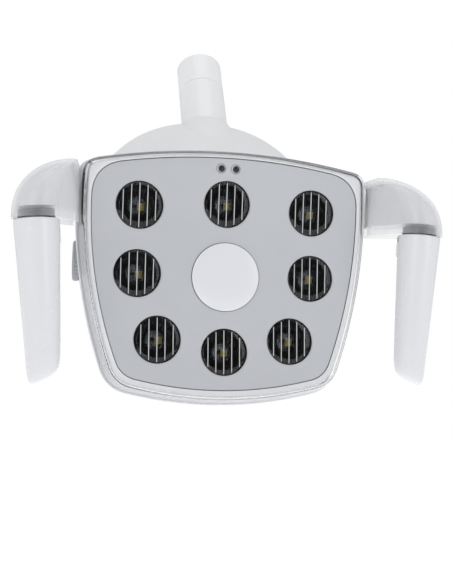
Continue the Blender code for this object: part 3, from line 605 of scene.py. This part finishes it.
def resample(points, centre, count):
    """The points of an outline at equal angles about a centre, clockwise from the top."""
    result = []
    total = len(points)
    for k in range(count):
        angle = 2 * math.pi * k / count
        ray = Vector((math.sin(angle), math.cos(angle)))
        for i in range(total):
            a = points[i] - centre
            b = points[(i + 1) % total] - centre
            cross_a = ray.x * a.y - ray.y * a.x
            cross_b = ray.x * b.y - ray.y * b.x
            if cross_a >= 0 > cross_b or cross_a > 0 >= cross_b:
                hit = a.lerp(b, cross_a / (cross_a - cross_b))
                if hit.dot(ray) > 0:
                    result.append(centre + hit)
                    break
    return result


def hood_outline(centre, count, inset):
    """The hood's deepest section, at equal angles about a centre."""
    points = []
    steps = 360
    for k in range(steps):
        angle = 2 * math.pi * k / steps
        across, up = math.sin(angle), math.cos(angle)
        reach = HOOD_TOP - HOOD_MIDDLE if up >= 0 else HOOD_MIDDLE - HOOD_BOTTOM
        x = math.copysign(abs(across) ** (2 / HOOD_POWER), across) * (HOOD_HALF_WIDTH - inset)
        z = HOOD_MIDDLE + math.copysign(abs(up) ** (2 / HOOD_POWER), up) * (reach - inset)
        points.append(Vector((x, z)))
    return resample(points, centre, count)


def casing_rows(inset, start, count=120):
    """The casing's sections from its open front to its rounded back, faired along
    its depth, with the parting groove pressed in."""
    centre = Vector((0, CASING_MIDDLE_Z))
    front = resample(offset(outline(RIM_REAR), -CASING_INSET - inset), centre, count)
    hood = hood_outline(centre, count, inset)
    depths = [start] + [12 + 4 * i for i in range(21)] + [HOOD_Y]
    rows = []
    for y in depths:
        share = min(1.0, max(0.0, (y - CASING_FRONT) / (HOOD_Y - CASING_FRONT)))
        row = []
        for k in range(count):
            lowness = (1 - math.cos(2 * math.pi * k / count)) / 2
            part = share * (1 - lowness) + share ** LOW_CURVE * lowness
            p = front[k].lerp(hood[k], part)
            row.append(Vector((p.x, y, p.y)))
        rows.append(row)
    middle = Vector((0, HOOD_CENTRE_Z))
    for angle in range(7, 85, 7):
        turn = math.radians(angle)
        row = []
        for p in hood:
            q = middle + (p - middle) * math.cos(turn)
            row.append(Vector((q.x, HOOD_Y + (HOOD_BACK - inset) * math.sin(turn), q.y)))
        rows.append(row)
    for _ in range(CASING_FAIRING):
        faired = [row[:] for row in rows]
        for i in range(2, len(rows) - 1):
            for k in range(count):
                faired[i][k] = rows[i][k] * 0.5 + (rows[i - 1][k] + rows[i + 1][k]) * 0.25
        rows = faired
    return rows


def grooved(rows, depth, width=0.8, sink=0.7):
    """Rows with a narrow groove pressed in at a depth."""
    i = next(i for i, row in enumerate(rows) if row[0].y > depth)
    low, high = rows[i - 1], rows[i]
    made = []
    for at, pressed in ((depth - width, 0), (depth - width * 0.7, sink), (depth + width * 0.7, sink),
                        (depth + width, 0)):
        row = []
        for a, b in zip(low, high):
            p = a.lerp(b, (at - a.y) / (b.y - a.y))
            inward = Vector((-p.x, 0, CASING_MIDDLE_Z - p.z)).normalized()
            row.append(p + inward * pressed)
        made.append(row)
    return rows[:i] + made + rows[i:]


def tongue_rows():
    """The raised tongue in front of the neck, as arches growing out of the hood."""
    rows = []
    for (y0, half0, top0), (y1, half1, top1) in zip(TONGUE, TONGUE[1:]):
        for i in range(6):
            t = i / 6
            rows.append((y0 + (y1 - y0) * t, half0 + (half1 - half0) * t, top0 + (top1 - top0) * t))
    rows.append(TONGUE[-1])
    for _ in range(6):
        inner = [tuple(rows[i][c] * 0.5 + (rows[i - 1][c] + rows[i + 1][c]) * 0.25 for c in range(3))
                 for i in range(1, len(rows) - 1)]
        rows = [rows[0]] + inner + [rows[-1]]
    loops = []
    for y, half, top in rows:
        spring = top - half
        angles = [math.pi * i / 28 for i in range(29)]
        arch = [Vector((half * math.cos(a), y, spring + half * math.sin(a))) for a in angles]
        loops.append([Vector((half, y, 80))] + arch + [Vector((-half, y, 80))])
    return loops


def neck_well(name, margin, reach):
    """The space that the neck sweeps as the head tilts, with a margin round it."""
    radius = WELL_HALF_WIDTH + margin
    lean = NECK_LEAN + TILT_RANGE
    points = []
    for axis in (NECK_AXIS, Vector((0, math.sin(lean), math.cos(lean)))):
        frame = frame_at(TILT_PIVOT, axis)
        points += circle(radius, 0, frame, 72) + circle(radius, reach, frame, 72)
    well = hull(name, points)
    half = radius - 0.25
    barrel = turned("barrel", [(radius - 0.4, -half), (radius - 0.4, half)],
                    frame_at(TILT_PIVOT, (1, 0, 0)), 72)
    return combine(well, barrel, "UNION")


def surface_frame(tree, origin, direction):
    """Frame on the first surface that a ray meets, Z pointing out of it."""
    place, normal, _, _ = tree.ray_cast(origin, direction)
    if normal.dot(direction) > 0:
        normal = -normal
    return frame_at(place, normal)


def make_casing():
    """The moulded rear casing with its parting groove, vents, neck well, tongue, knob
    seat and screw recesses, and the screws that close it."""
    outside = grooved(casing_rows(0, CASING_FRONT), PARTING)
    casing = loft("casing_shell", outside)
    tree = BVHTree.FromPolygons([v.co for v in casing.data.vertices],
                                [p.vertices for p in casing.data.polygons])
    combine(casing, loft("tongue", tongue_rows()), "UNION")
    seat_frame = frame_at(KNOB_CENTRE, (-1, 0, 0))
    combine(casing, turned("knob_seat", [(KNOB_SEAT_RADIUS + 1.5, -20), (KNOB_SEAT_RADIUS, -0.8),
                                         (KNOB_SEAT_RADIUS - 0.8, 0)], seat_frame), "UNION")
    hollow = loft("hollow", casing_rows(CASING_WALL, CASING_FRONT - 6))
    combine(hollow, neck_well("well_wall", WELL_WALL, 60))
    combine(casing, hollow)
    combine(casing, neck_well("well", 0, 80))
    across = frame_at(TILT_PIVOT, (1, 0, 0))
    pin_hole = PIN_RADIUS + GAP
    combine(casing, turned("pin_holes", [(pin_hole, -40), (pin_hole, 40)], across, 48))
    combine(casing, turned("cable_hole", [(6, -40), (6, -15)], frame_at(TILT_PIVOT, NECK_AXIS), 32))
    hole = KNOB_STEM + 2 * GAP
    combine(casing, turned("knob_hole", [(hole, -20), (hole, 10)], seat_frame, 32))
    for y in VENT_DEPTHS:
        frame = surface_frame(tree, Vector((0, y, -150)), Vector((0, 0, 1)))
        up = frame.to_3x3().col[2]
        slope = Matrix((Vector((1, 0, 0)), up.cross(Vector((1, 0, 0))), up)).transposed().to_4x4()
        slope = Matrix.Translation(frame.translation) @ slope
        half = VENT_HALF_WIDTH - 0.1 * abs(y - VENT_DEPTHS[2])
        combine(casing, slab("vent", (-half, -VENT_HALF_HEIGHT, -6), (half, VENT_HALF_HEIGHT, 6),
                             slope, 1.3))
    screws = []
    for x, z in CASING_SCREWS:
        frame = surface_frame(tree, Vector((x, 200, z)), Vector((0, -1, 0)))
        combine(casing, turned("recess", [(4.1, -1.7), (4.3, -0.5), (5.2, 0.6), (5.6, 3)], frame, 40))
        screw = turned("screw", [(3.5, -1.65)] + arc((2.9, -1.1), 0.6, 0, 90) + [(2.0, -0.45)], frame, 40)
        combine(screw, turned("key", [(1.5, -1.2), (1.5, 1)], frame, 6))
        screws.append(screw)
    seat(casing, "head", "casing_white", ["rear_casing"])
    seat(merge("casing_screws", screws), "head", "steel")


def make_knob():
    """The brightness knob: a ribbed disc on its stem, with a pointer line."""
    frame = frame_at(Vector((0, KNOB_CENTRE.y, KNOB_CENTRE.z)), (-1, 0, 0))
    inner = -KNOB_CENTRE.x + GAP
    outer = inner + KNOB_THICKNESS
    sides = KNOB_RIBS * 6

    def ribbed(radius, height, depth):
        points = []
        for i in range(sides):
            angle = 2 * math.pi * i / sides
            wave = 0.5 - 0.5 * math.cos(KNOB_RIBS * angle)
            reach = radius - depth * wave ** 2
            points.append(frame @ Vector((reach * math.cos(angle), reach * math.sin(angle), height)))
        return points

    r = KNOB_RADIUS
    stem = [(KNOB_STEM, KNOB_STEM_END), (KNOB_STEM, inner), (r - 1.2, inner)]
    edge = [(r, inner + 0.6, 0.6), (r, outer - 1.4, 0.6), (r - 0.5, outer - 0.5, 0.3)]
    top = [(r - 1.6, outer), (r - 4.2, outer - 0.1), (r - 5.0, outer - 0.7), (5, outer - 0.9)]
    loops = [circle(radius, height, frame, sides) for radius, height in stem]
    loops += [ribbed(radius, height, depth) for radius, height, depth in edge]
    loops += [circle(radius, height, frame, sides) for radius, height in top]
    seat(loft("brightness_dial", loops), "knob", "grey_plastic", nodes=["brightness_knob"])
    mark = slab("dial_mark", (6.0, -0.7, outer - 1.0), (10.6, 0.7, outer - 0.55), frame, 0.2)
    seat(mark, "knob", "rib_white")


# ---------------------------------------------------------------- face

def make_face_sheet():
    """The silver face, hollow towards the viewer, its windows with eased edges."""
    edge = outline(PANEL)
    rings = [on_dish([p * s for p in edge], 0) for s in (0.1, 0.2, 0.3, 0.4, 0.5, 0.6, 0.7, 0.8, 0.9, 0.96)]
    rings.append(on_dish(offset(edge, -0.4), 0))
    rings.append(on_dish(edge, 0.4))
    back = [on_dish([p * s for p in edge], PANEL_THICKNESS) for s in (1.0, 0.8, 0.6, 0.4, 0.2, 0.1)]
    sheet = loft("face_sheet", rings + back)
    for x, z in LED_CENTRES:
        combine(sheet, turned("hole", [(LED_HOLE + 4.4, -3.8), (LED_HOLE, 0.6), (LED_HOLE, 12)],
                              lamp_frame(x, z), ROUND))
    hole = SENSOR_RADIUS + GAP
    for x, z in SENSOR_CENTRES.values():
        combine(sheet, turned("hole", [(hole + 3.5, -3), (hole, 0.5), (hole, 12)], lamp_frame(x, z), 40))
    hole = BADGE_BOSS + GAP
    combine(sheet, turned("hole", [(hole, -8), (hole, 12)], lamp_frame(0, 0), 48))
    seat(sheet, "head", "silver_paint", nodes=["face_panel"])
    # Painted shadow: a thin black strip round the panel's edge stands in for the shade in the groove between
    # face and bezel.
    section = [(0.05, 0.1), (0.35, 0.1), (0.35, 1.9), (0.05, 1.9)]
    edge_shadow = loft("face_edge_shadow", [on_dish(offset(edge, out), behind) for out, behind in section],
                  ring=True)
    seat(edge_shadow, "head", "gap_shadow_black")


def make_badge():
    """The plain round badge with a thin dark ring round it that paints the shadow at its edge; it carries no
    lettering.
    """
    frame = lamp_frame(0, 0)
    profile = [(2, -2.0), (BADGE_RADIUS * 0.5, -1.98), (BADGE_RADIUS - 1.4, -1.9)]
    profile += [(BADGE_RADIUS - 0.7, -1.78), (BADGE_RADIUS - 0.15, -1.45), (BADGE_RADIUS, -1.1),
                (BADGE_RADIUS, -0.75), (BADGE_BOSS, -0.75), (BADGE_BOSS, 3.5), (BADGE_BOSS - 0.5, 4)]
    seat(turned("badge_disc", profile, frame, 96), "head", "badge_white", nodes=["badge"])
    # Painted shadow: a thin dark ring round the badge stands in for the shade in the gap at its edge.
    ring = [(BADGE_RADIUS - 1.4, -0.7), (BADGE_RADIUS + 0.42, -0.55), (BADGE_RADIUS + 0.42, -0.3),
            (BADGE_RADIUS - 1.4, -0.3)]
    seat(turned("badge_gap_shadow", ring, frame, 96, ring=True), "head", "gap_shadow_black")


def make_bezel():
    """The white frame round the face, with eased edges and a fine step."""
    panel = outline(PANEL)
    outer = offset(outline(RIM_FRONT), -RIM_WALL - 2 * GAP)
    back = offset(outline(RIM_REAR), -RIM_WALL - 2.8)
    seat_depth = PANEL_THICKNESS + GAP
    loops = [
        on_dish(offset(panel, 0.4), 0.2 - BEZEL_PROUD),
        on_dish(offset(panel, 0.7), -BEZEL_PROUD),
        on_dish(offset(panel, 1.6), -1.2 * BEZEL_PROUD),
        on_dish(offset(outer, -1.4), -2 * BEZEL_PROUD),
        on_dish(offset(outer, -0.7), -1.7 * BEZEL_PROUD),
        on_dish(offset(outer, -0.2), -0.9 * BEZEL_PROUD),
        on_dish(outer, 0),
        at_depth(back, RIM_BACK + 0.2),
        at_depth(offset(panel, -BEZEL_LEDGE), RIM_BACK + 0.2),
        on_dish(offset(panel, -BEZEL_LEDGE), seat_depth),
        on_dish(offset(panel, 0.4), seat_depth),
    ]
    seat(loft("bezel_frame", loops, ring=True), "head", "white_plastic", nodes=["front_bezel"])


def make_rim():
    """The clear rim round the head, with a rounded lip, and a grey strip along its top that paints the shadow
    in the gap between rim and casing.
    """
    front, rear = outline(RIM_FRONT), outline(RIM_REAR)
    loops = []
    for angle in range(180, -1, -30):
        turn = math.radians(angle)
        loops.append(on_dish(offset(front, -RIM_LIP + RIM_LIP * math.cos(turn)),
                             -RIM_PROUD + RIM_LIP - RIM_LIP * math.sin(turn)))
    for out, depth in ((-0.1, RIM_BACK - 0.5), (-0.5, RIM_BACK), (-RIM_WALL + 0.2, RIM_BACK),
                       (-RIM_WALL - 0.2, RIM_BACK - 0.5)):
        loops.append(at_depth(offset(rear, out), depth))
    seat(loft("rim_clear", loops, ring=True), "head", "clear_plastic", nodes=["clear_rim"])
    # Painted shadow: the grey strip along the rim's top stands in for the shade in the gap between the rim
    # and the casing.
    top = sorted((i for i, p in enumerate(rear) if p.y > GAP_SHADOW_FOOT), key=lambda i: rear[i].x)
    outer, inner = offset(rear, -GAP_SHADOW_INSET), offset(rear, -GAP_SHADOW_INSET - GAP_SHADOW_WIDTH)
    near, far = RIM_BACK + 0.05, RIM_BACK + 0.45
    gap_shadow = loft("rim_gap_shadow", [at_depth([outer[i]], near) + at_depth([outer[i]], far)
                             + at_depth([inner[i]], far) + at_depth([inner[i]], near) for i in top])
    seat(gap_shadow, "head", "grey_plastic")


def make_lamp(number, x, z):
    """One lamp: ribbed window, black reflector, clear optic and the LED on its board."""
    frame = lamp_frame(x, z)
    r = LENS_RADIUS
    profile = [(0.6, LENS_FRONT - 0.25), (r * 0.35, LENS_FRONT - 0.22), (r * 0.7, LENS_FRONT - 0.1),
               (r - 0.5, LENS_FRONT), (r - 0.12, LENS_FRONT + 0.12), (r, LENS_FRONT + 0.5), (r, LENS_BACK)]
    lens = turned("window_%d" % number, profile, frame, ROUND)
    seat(lens, "head", "lens_plastic", nodes=["led_lens_%d" % number])
    ribs = []
    for k in range(-2, 3):
        across = k * RIB_PITCH
        reach = math.sqrt(RIB_REACH ** 2 - across ** 2)
        half = RIB_WIDTH / 2
        ribs.append(slab("rib", (across - half, -reach, LENS_FRONT - 0.75),
                         (across + half, reach, LENS_FRONT + 0.1), frame, 0.3))
    seat(merge("window_ribs_%d" % number, ribs), "head", "rib_white")
    front = PANEL_THICKNESS + GAP
    ledge = LENS_BACK + GAP
    cup = [(CUP_SEAT, front), (CUP_RADIUS, front), (CUP_RADIUS, 12), (12, CUP_DEPTH), (5, CUP_DEPTH),
           (5.2, 23.4), (6.4, 22.2), (8.9, 19.4), (9.6, 19.1), (12.6, 15.6), (13.1, 15.5),
           (15.8, 11.4), (16.9, 10.6), (16.9, ledge + 0.4), (17.3, ledge), (CUP_SEAT, ledge)]
    seat(turned("reflector_%d" % number, cup, frame, ROUND, ring=True), "head", "black_gloss",
         nodes=["led_cup_%d" % number])
    curve = OPTIC_CURVE
    rise = curve - math.sqrt(curve ** 2 - OPTIC_RADIUS ** 2)
    top = OPTIC_BACK - 1.2 - rise
    angles = [math.asin(OPTIC_RADIUS / curve) * i / 9 for i in range(9, 0, -1)]
    dome = [(curve * math.sin(a), top + curve * (1 - math.cos(a))) for a in angles] + [(0.3, top)]
    optic = turned("optic_%d" % number, [(OPTIC_RADIUS, OPTIC_BACK)] + dome, frame, 48)
    seat(optic, "head", "lens_plastic")
    board = CUP_DEPTH + GAP
    chip = turned("emitter_board_%d" % number, [(3.6, 22.0), (3.6, board), (11, board), (11, board + 1.6),
                                                (7, board + 1.6), (7, board + 2.2)], frame, 40)
    seat(chip, "head", "black_gloss", ["led_emitter_%d" % number])
    half = EMITTER_SIZE / 2
    glow = slab("emitter_%d" % number, (EMITTER_SHIFT - half, -half, 21.7),
                (EMITTER_SHIFT + half, half, 22.1), frame, 0.15)
    seat(glow, "head", "led_yellow")


def make_sensors():
    """The two sensor windows set in the face: a dark domed eye set off to one side in a pale cup, whose pale
    crescent is a painted highlight standing in for the lit wall of the hole.
    """
    r = SENSOR_RADIUS
    for name, (x, z) in SENSOR_CENTRES.items():
        # Painted highlight: the pale cup stands in for the lit wall of the hole, and the shifted eye leaves
        # it showing on one side only.
        cup = [(0.4, 1.5), (r * 0.8, 1.45), (r - 0.25, 1.1), (r - 0.1, 0.6), (r, 0.75),
               (r, PANEL_THICKNESS + GAP), (4.2, PANEL_THICKNESS + GAP), (4.2, 5)]
        seat(turned("sensor_lit_wall_" + name, cup, lamp_frame(x, z), 40), "head", "rib_white",
             ["sensor_window_" + name])
        reach = r * SENSOR_EYE
        eye = [(0.3, 0.2), (reach * 0.4, 0.3), (reach * 0.7, 0.55), (reach * 0.92, 0.95), (reach, 1.35)]
        seat(turned("sensor_eye_" + name, eye, lamp_frame(x + SENSOR_HIGHLIGHT_SHIFT, z), 40), "head",
             "sensor_black")


# ---------------------------------------------------------------- wings and handles

def wing_base(inset, head_side):
    """The wing's outline seen from above, at its foot: a nose round the handle axis
    joined to the head by two straight sides."""
    nose = Vector((HANDLE_TOP.x, HANDLE_TOP.y))
    front = Vector(WING_FRONT_EDGE)
    back = Vector(WING_BACK_EDGE)

    def tangent_angle(edge, sense):
        away = edge - nose
        return math.atan2(away.y, away.x) + sense * math.acos(WING_NOSE_RADIUS / away.length)

    first = tangent_angle(front, 1) - 2 * math.pi
    last = tangent_angle(back, -1)
    if first > last:
        first -= 2 * math.pi
    while last - first > 2 * math.pi:
        first += 2 * math.pi
    radius = WING_NOSE_RADIUS - inset
    steps = 30
    nose_arc = [nose + Vector((math.cos(a), math.sin(a))) * radius
                for a in (first + (last - first) * i / steps for i in range(steps + 1))]

    def head_end(edge, start, sense):
        along = (edge - start).normalized()
        drawn_in = edge + Vector((along.y, -along.x)) * (sense * inset)
        share = (edge.x + head_side - start.x) / (drawn_in.x - start.x)
        return start.lerp(drawn_in, share)

    front_edge = head_end(front, nose_arc[0], 1)
    back_edge = head_end(back, nose_arc[-1], -1)
    parts = [i / 8 for i in range(1, 8)]
    return ([front_edge] + [front_edge.lerp(nose_arc[0], t) for t in parts] + nose_arc
            + [nose_arc[-1].lerp(back_edge, t) for t in parts] + [back_edge])


def wing_rows(side, inset, foot, head_side=0.0):
    """The wing's level sections from its sloping foot to its rounded top."""
    base = wing_base(inset, head_side)
    height = WING_HEIGHT - 1.6 * inset
    slope = math.tan(HANDLE_LEAN)
    inner_x = WING_INNER_X + 1.2 * inset
    middle_y = 1.0
    level = WING_SPRING + height * math.sin(math.radians(24))
    heights = sorted({foot, 36.5, 39.0, CORE_BOTTOM, 43, 45, 47, 49.5, 52}
                     | {WING_SPRING + height * math.sin(math.radians(a)) for a in range(24, 88, 4)})
    loops = []
    for z in (h for h in heights if h >= foot):
        tilt = 1 - smooth((z - CORE_BOTTOM) / (level - CORE_BOTTOM))
        rise = max(0.0, (z - WING_SPRING) / height)
        reach = math.sqrt(max(0.0, 1 - rise * rise))
        spread_y = 0.35 + 0.65 * reach
        loop = []
        for p in base:
            x = inner_x + (p.x - inner_x) * reach
            y = middle_y + (p.y - middle_y) * spread_y
            loop.append(Vector((side * x, y, z - tilt * (p.x - HANDLE_TOP.x) * slope)))
        loops.append(loop)
    return loops


def make_wing(name, side):
    """One wing: the clear skin over the white core, and the dark collar below."""
    skin = loft("wing_cover_" + name, wing_rows(side, 0, WING_BOTTOM))
    combine(skin, loft("inside", wing_rows(side, WING_SKIN, WING_BOTTOM - 5, head_side=-6)))
    seat(skin, "head", "clear_skin", ["wing_skin_" + name])
    core = loft("wing_body_" + name, wing_rows(side, WING_SKIN + 1.0, CORE_BOTTOM, head_side=0.8))
    frame = handle_frame(side)
    combine(core, turned("stud_hole", [(6 + GAP, -20.5), (6 + GAP, 10)], frame, 40))
    seat(core, "head", "white_plastic", nodes=["wing_core_" + name])
    low, high, r = -5.9, -0.2, 12.8
    profile = [(PEG_RADIUS + GAP, low), (12.2, low)] + arc((r - 0.6, low + 0.6), 0.6, -90, 0)
    profile += [(r, -3.6), (r - 0.5, -3.4), (r - 0.5, -2.8), (r, -2.6), (r, high - 0.3), (r - 0.3, high),
                (PEG_RADIUS + GAP, high)]
    seat(turned("collar_" + name, profile, frame, ROUND, ring=True), "head", "dark_plastic",
         nodes=["handle_collar_" + name])


def make_grip(name, side):
    """One pull-off handle: tapered, with a slanted rounded end, a blind bore and the
    pocket of its release."""
    frame = handle_frame(side)
    rows = [(0.9, 0.0, 0.95), (1.05, 0, 0.975), (1.4, 0.0, 0.993), (2.0, 0.0, 1.0)]
    rows += [(5 + 7 * i, 0.0, 1.0) for i in range(11)]
    rows += [(82, 0.06, 1.0), (88, 0.16, 1.0), (93, 0.27, 1.0), (98, 0.37, 0.999), (102, 0.43, 0.99),
             (104.5, HANDLE_END_SLANT, 0.965), (106.5, HANDLE_END_SLANT, 0.92), (108, HANDLE_END_SLANT, 0.86),
             (109, HANDLE_END_SLANT, 0.78), (109.7, HANDLE_END_SLANT, 0.67), (110.1, HANDLE_END_SLANT, 0.54),
             (110.4, HANDLE_END_SLANT, 0.36), (110.5, HANDLE_END_SLANT, 0.16)]
    loops = []
    for along, slant, fullness in rows:
        radius = (HANDLE_RADIUS - HANDLE_TAPER * along) * fullness
        angles = [2 * math.pi * i / ROUND for i in range(ROUND)]
        loops.append([frame @ Vector((radius * math.cos(a), radius * math.sin(a),
                                      along + slant * radius * math.cos(a))) for a in angles])
    grip = loft("grip_shell_" + name, loops)
    bore = turned("bore", [(HANDLE_BORE + 1, -5), (HANDLE_BORE + 1, 0.9), (HANDLE_BORE, 1.9),
                           (HANDLE_BORE, PEG_LENGTH + 4)], frame, 48)
    width, length, _ = BUTTON_SIZE
    pocket = slab("pocket", (5, -width / 2 - GAP, BUTTON_SHADOW_TOP - GAP),
                  (20, width / 2 + GAP, BUTTON_TOP + length + GAP), button_frame(side), 0.6)
    combine(grip, combine(bore, pocket, "UNION"))
    seat(grip, "grip_" + name, "white_plastic", nodes=["handle_" + name])


def make_release(name, side):
    """The sprung release button, with three raised ridges for the thumb, below a dark
    block that paints the shadow in the gap at the button's upper end."""
    width, length, depth = BUTTON_SIZE
    outer = HANDLE_RADIUS + 0.6
    frame = button_frame(side)
    # Painted shadow: this dark block stands in for the shade in the gap above the button.
    button_shadow = slab("release_gap_shadow_" + name, (outer - depth, -width / 2, BUTTON_SHADOW_TOP),
                 (outer - 0.6, width / 2, BUTTON_SHADOW_FOOT), frame, 0.4)
    seat(button_shadow, "grip_" + name, "dark_plastic")
    button = slab("release_button_" + name, (outer - depth, -width / 2, BUTTON_SHADOW_FOOT + GAP),
                  (outer - 0.35, width / 2, BUTTON_TOP + length), frame, 0.7)
    for k in range(3):
        z = BUTTON_TOP + length / 2 + 1.2 + (k - 1) * 2.6
        combine(button, slab("ridge", (outer - 1.2, -width / 2 + 1.1, z - 0.5),
                             (outer, width / 2 - 1.1, z + 0.5), frame, 0.3), "UNION")
    seat(button, "release_" + name, "white_plastic", nodes=["handle_release_" + name])


# ---------------------------------------------------------------- scene

def refinish_cad_nodes():
    """CAD nodes that stay take the finish of their slot in the record."""
    slots = {entry["node"]: entry["material_slot"] for entry in frame["record"]["subparts"]}
    for name, node in frame["nodes"].items():
        node.data.materials.clear()
        node.data.materials.append(MATERIAL[slots[name]])


def area_light(name, place, aim, size, power, colour=(1, 1, 1)):
    """A soft rectangular light; places are in face coordinates, power in watts."""
    data = bpy.data.lights.new(name, "AREA")
    data.shape = "RECTANGLE"
    data.size, data.size_y = size
    data.energy = power
    data.color = colour
    light = bpy.data.objects.new(name, data)
    light.location = (Vector(place) - SOCKET_CENTRE) * MM
    target = (Vector(aim) - SOCKET_CENTRE) * MM
    light.rotation_euler = (light.location - target).to_track_quat("Z", "Y").to_euler()
    bpy.context.scene.collection.objects.link(light)


def make_stage():
    """A pale floor, a white surround and soft lights."""
    world = bpy.data.worlds.new("surround")
    bpy.context.scene.world = world
    world.use_nodes = True
    tree = world.node_tree
    seen = tree.nodes["Background"]
    seen.inputs["Color"].default_value = (1, 1, 1, 1)
    seen.inputs["Strength"].default_value = 1.0
    studio = tree.nodes.new("ShaderNodeBackground")
    place = tree.nodes.new("ShaderNodeTexCoord")
    axes = tree.nodes.new("ShaderNodeSeparateXYZ")
    depth = tree.nodes.new("ShaderNodeMapRange")
    depth.interpolation_type = "SMOOTHSTEP"
    for socket, value in (("From Min", -0.97), ("From Max", -0.72),
                          ("To Min", STUDIO_FRONT), ("To Max", STUDIO_ROUND)):
        depth.inputs[socket].default_value = value
    tree.links.new(place.outputs["Generated"], axes.inputs["Vector"])
    tree.links.new(axes.outputs["Y"], depth.inputs["Value"])
    tree.links.new(depth.outputs["Result"], studio.inputs["Strength"])
    studio.inputs["Color"].default_value = (0.97, 0.98, 1.0, 1)
    path = tree.nodes.new("ShaderNodeLightPath")
    either = tree.nodes.new("ShaderNodeMixShader")
    tree.links.new(path.outputs["Is Camera Ray"], either.inputs["Fac"])
    tree.links.new(studio.outputs["Background"], either.inputs[1])
    tree.links.new(seen.outputs["Background"], either.inputs[2])
    tree.links.new(either.outputs["Shader"], tree.nodes["World Output"].inputs["Surface"])
    bpy.context.scene.view_settings.view_transform = "Standard"
    builder = bmesh.new()
    bmesh.ops.create_grid(builder, x_segments=8, y_segments=8, size=FLOOR_HALF_SIZE)
    bmesh.ops.translate(builder, verts=builder.verts, vec=(0, 0, FLOOR_HEIGHT))
    floor = new_piece("floor", builder)
    material = make_material("floor_white", (0.9, 0.9, 0.9), 0.7, grain=4, relief=0.02, shade=0.01)
    shader = material.node_tree.nodes["Principled BSDF"]
    shader.inputs["Emission Color"].default_value = (1, 1, 1, 1)
    shader.inputs["Emission Strength"].default_value = FLOOR_GLOW
    floor.data.materials.append(material)
    area_light("key", (-700, -1000, 500), (0, 0, 0), (0.55, 0.8), 1.75)
    area_light("fill", (650, -1000, 350), (0, 0, 0), (0.45, 0.8), 1.5, (0.96, 0.98, 1.0))
    area_light("top", (0, -300, 1300), (0, 0, 0), (1.0, 0.8), 2.0)


def make_camera():
    """The camera at the photograph's viewing angle."""
    azimuth, elevation, roll = (math.radians(v) for v in (CAMERA_AZIMUTH, CAMERA_ELEVATION, CAMERA_ROLL))
    back = Vector((math.sin(azimuth) * math.cos(elevation), -math.cos(azimuth) * math.cos(elevation),
                   math.sin(elevation)))
    right = Vector((math.cos(azimuth), math.sin(azimuth), 0))
    up = right.cross(-back)
    x_axis = right * math.cos(roll) + up * math.sin(roll)
    y_axis = up * math.cos(roll) - right * math.sin(roll)
    data = bpy.data.cameras.new("camera")
    data.lens = CAMERA_LENS
    data.sensor_width = 36
    camera = bpy.data.objects.new("camera", data)
    turn = Matrix((x_axis, y_axis, back)).transposed().to_4x4()
    camera.matrix_world = Matrix.Translation((CAMERA_PLACE - SOCKET_CENTRE) * MM) @ turn
    bpy.context.scene.collection.objects.link(camera)
    bpy.context.scene.camera = camera


for thing in list(bpy.data.objects):
    bpy.data.objects.remove(thing)
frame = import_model()
MATERIAL = make_materials()
refinish_cad_nodes()
make_arm_tube()
make_neck()
make_casing()
make_knob()
make_face_sheet()
make_badge()
make_bezel()
make_rim()
for lamp_number, (lamp_x, lamp_z) in enumerate(LED_CENTRES, 1):
    make_lamp(lamp_number, lamp_x, lamp_z)
make_sensors()
for side_name, side_sign in SIDES.items():
    make_wing(side_name, side_sign)
    make_grip(side_name, side_sign)
    make_release(side_name, side_sign)
make_stage()
make_camera()
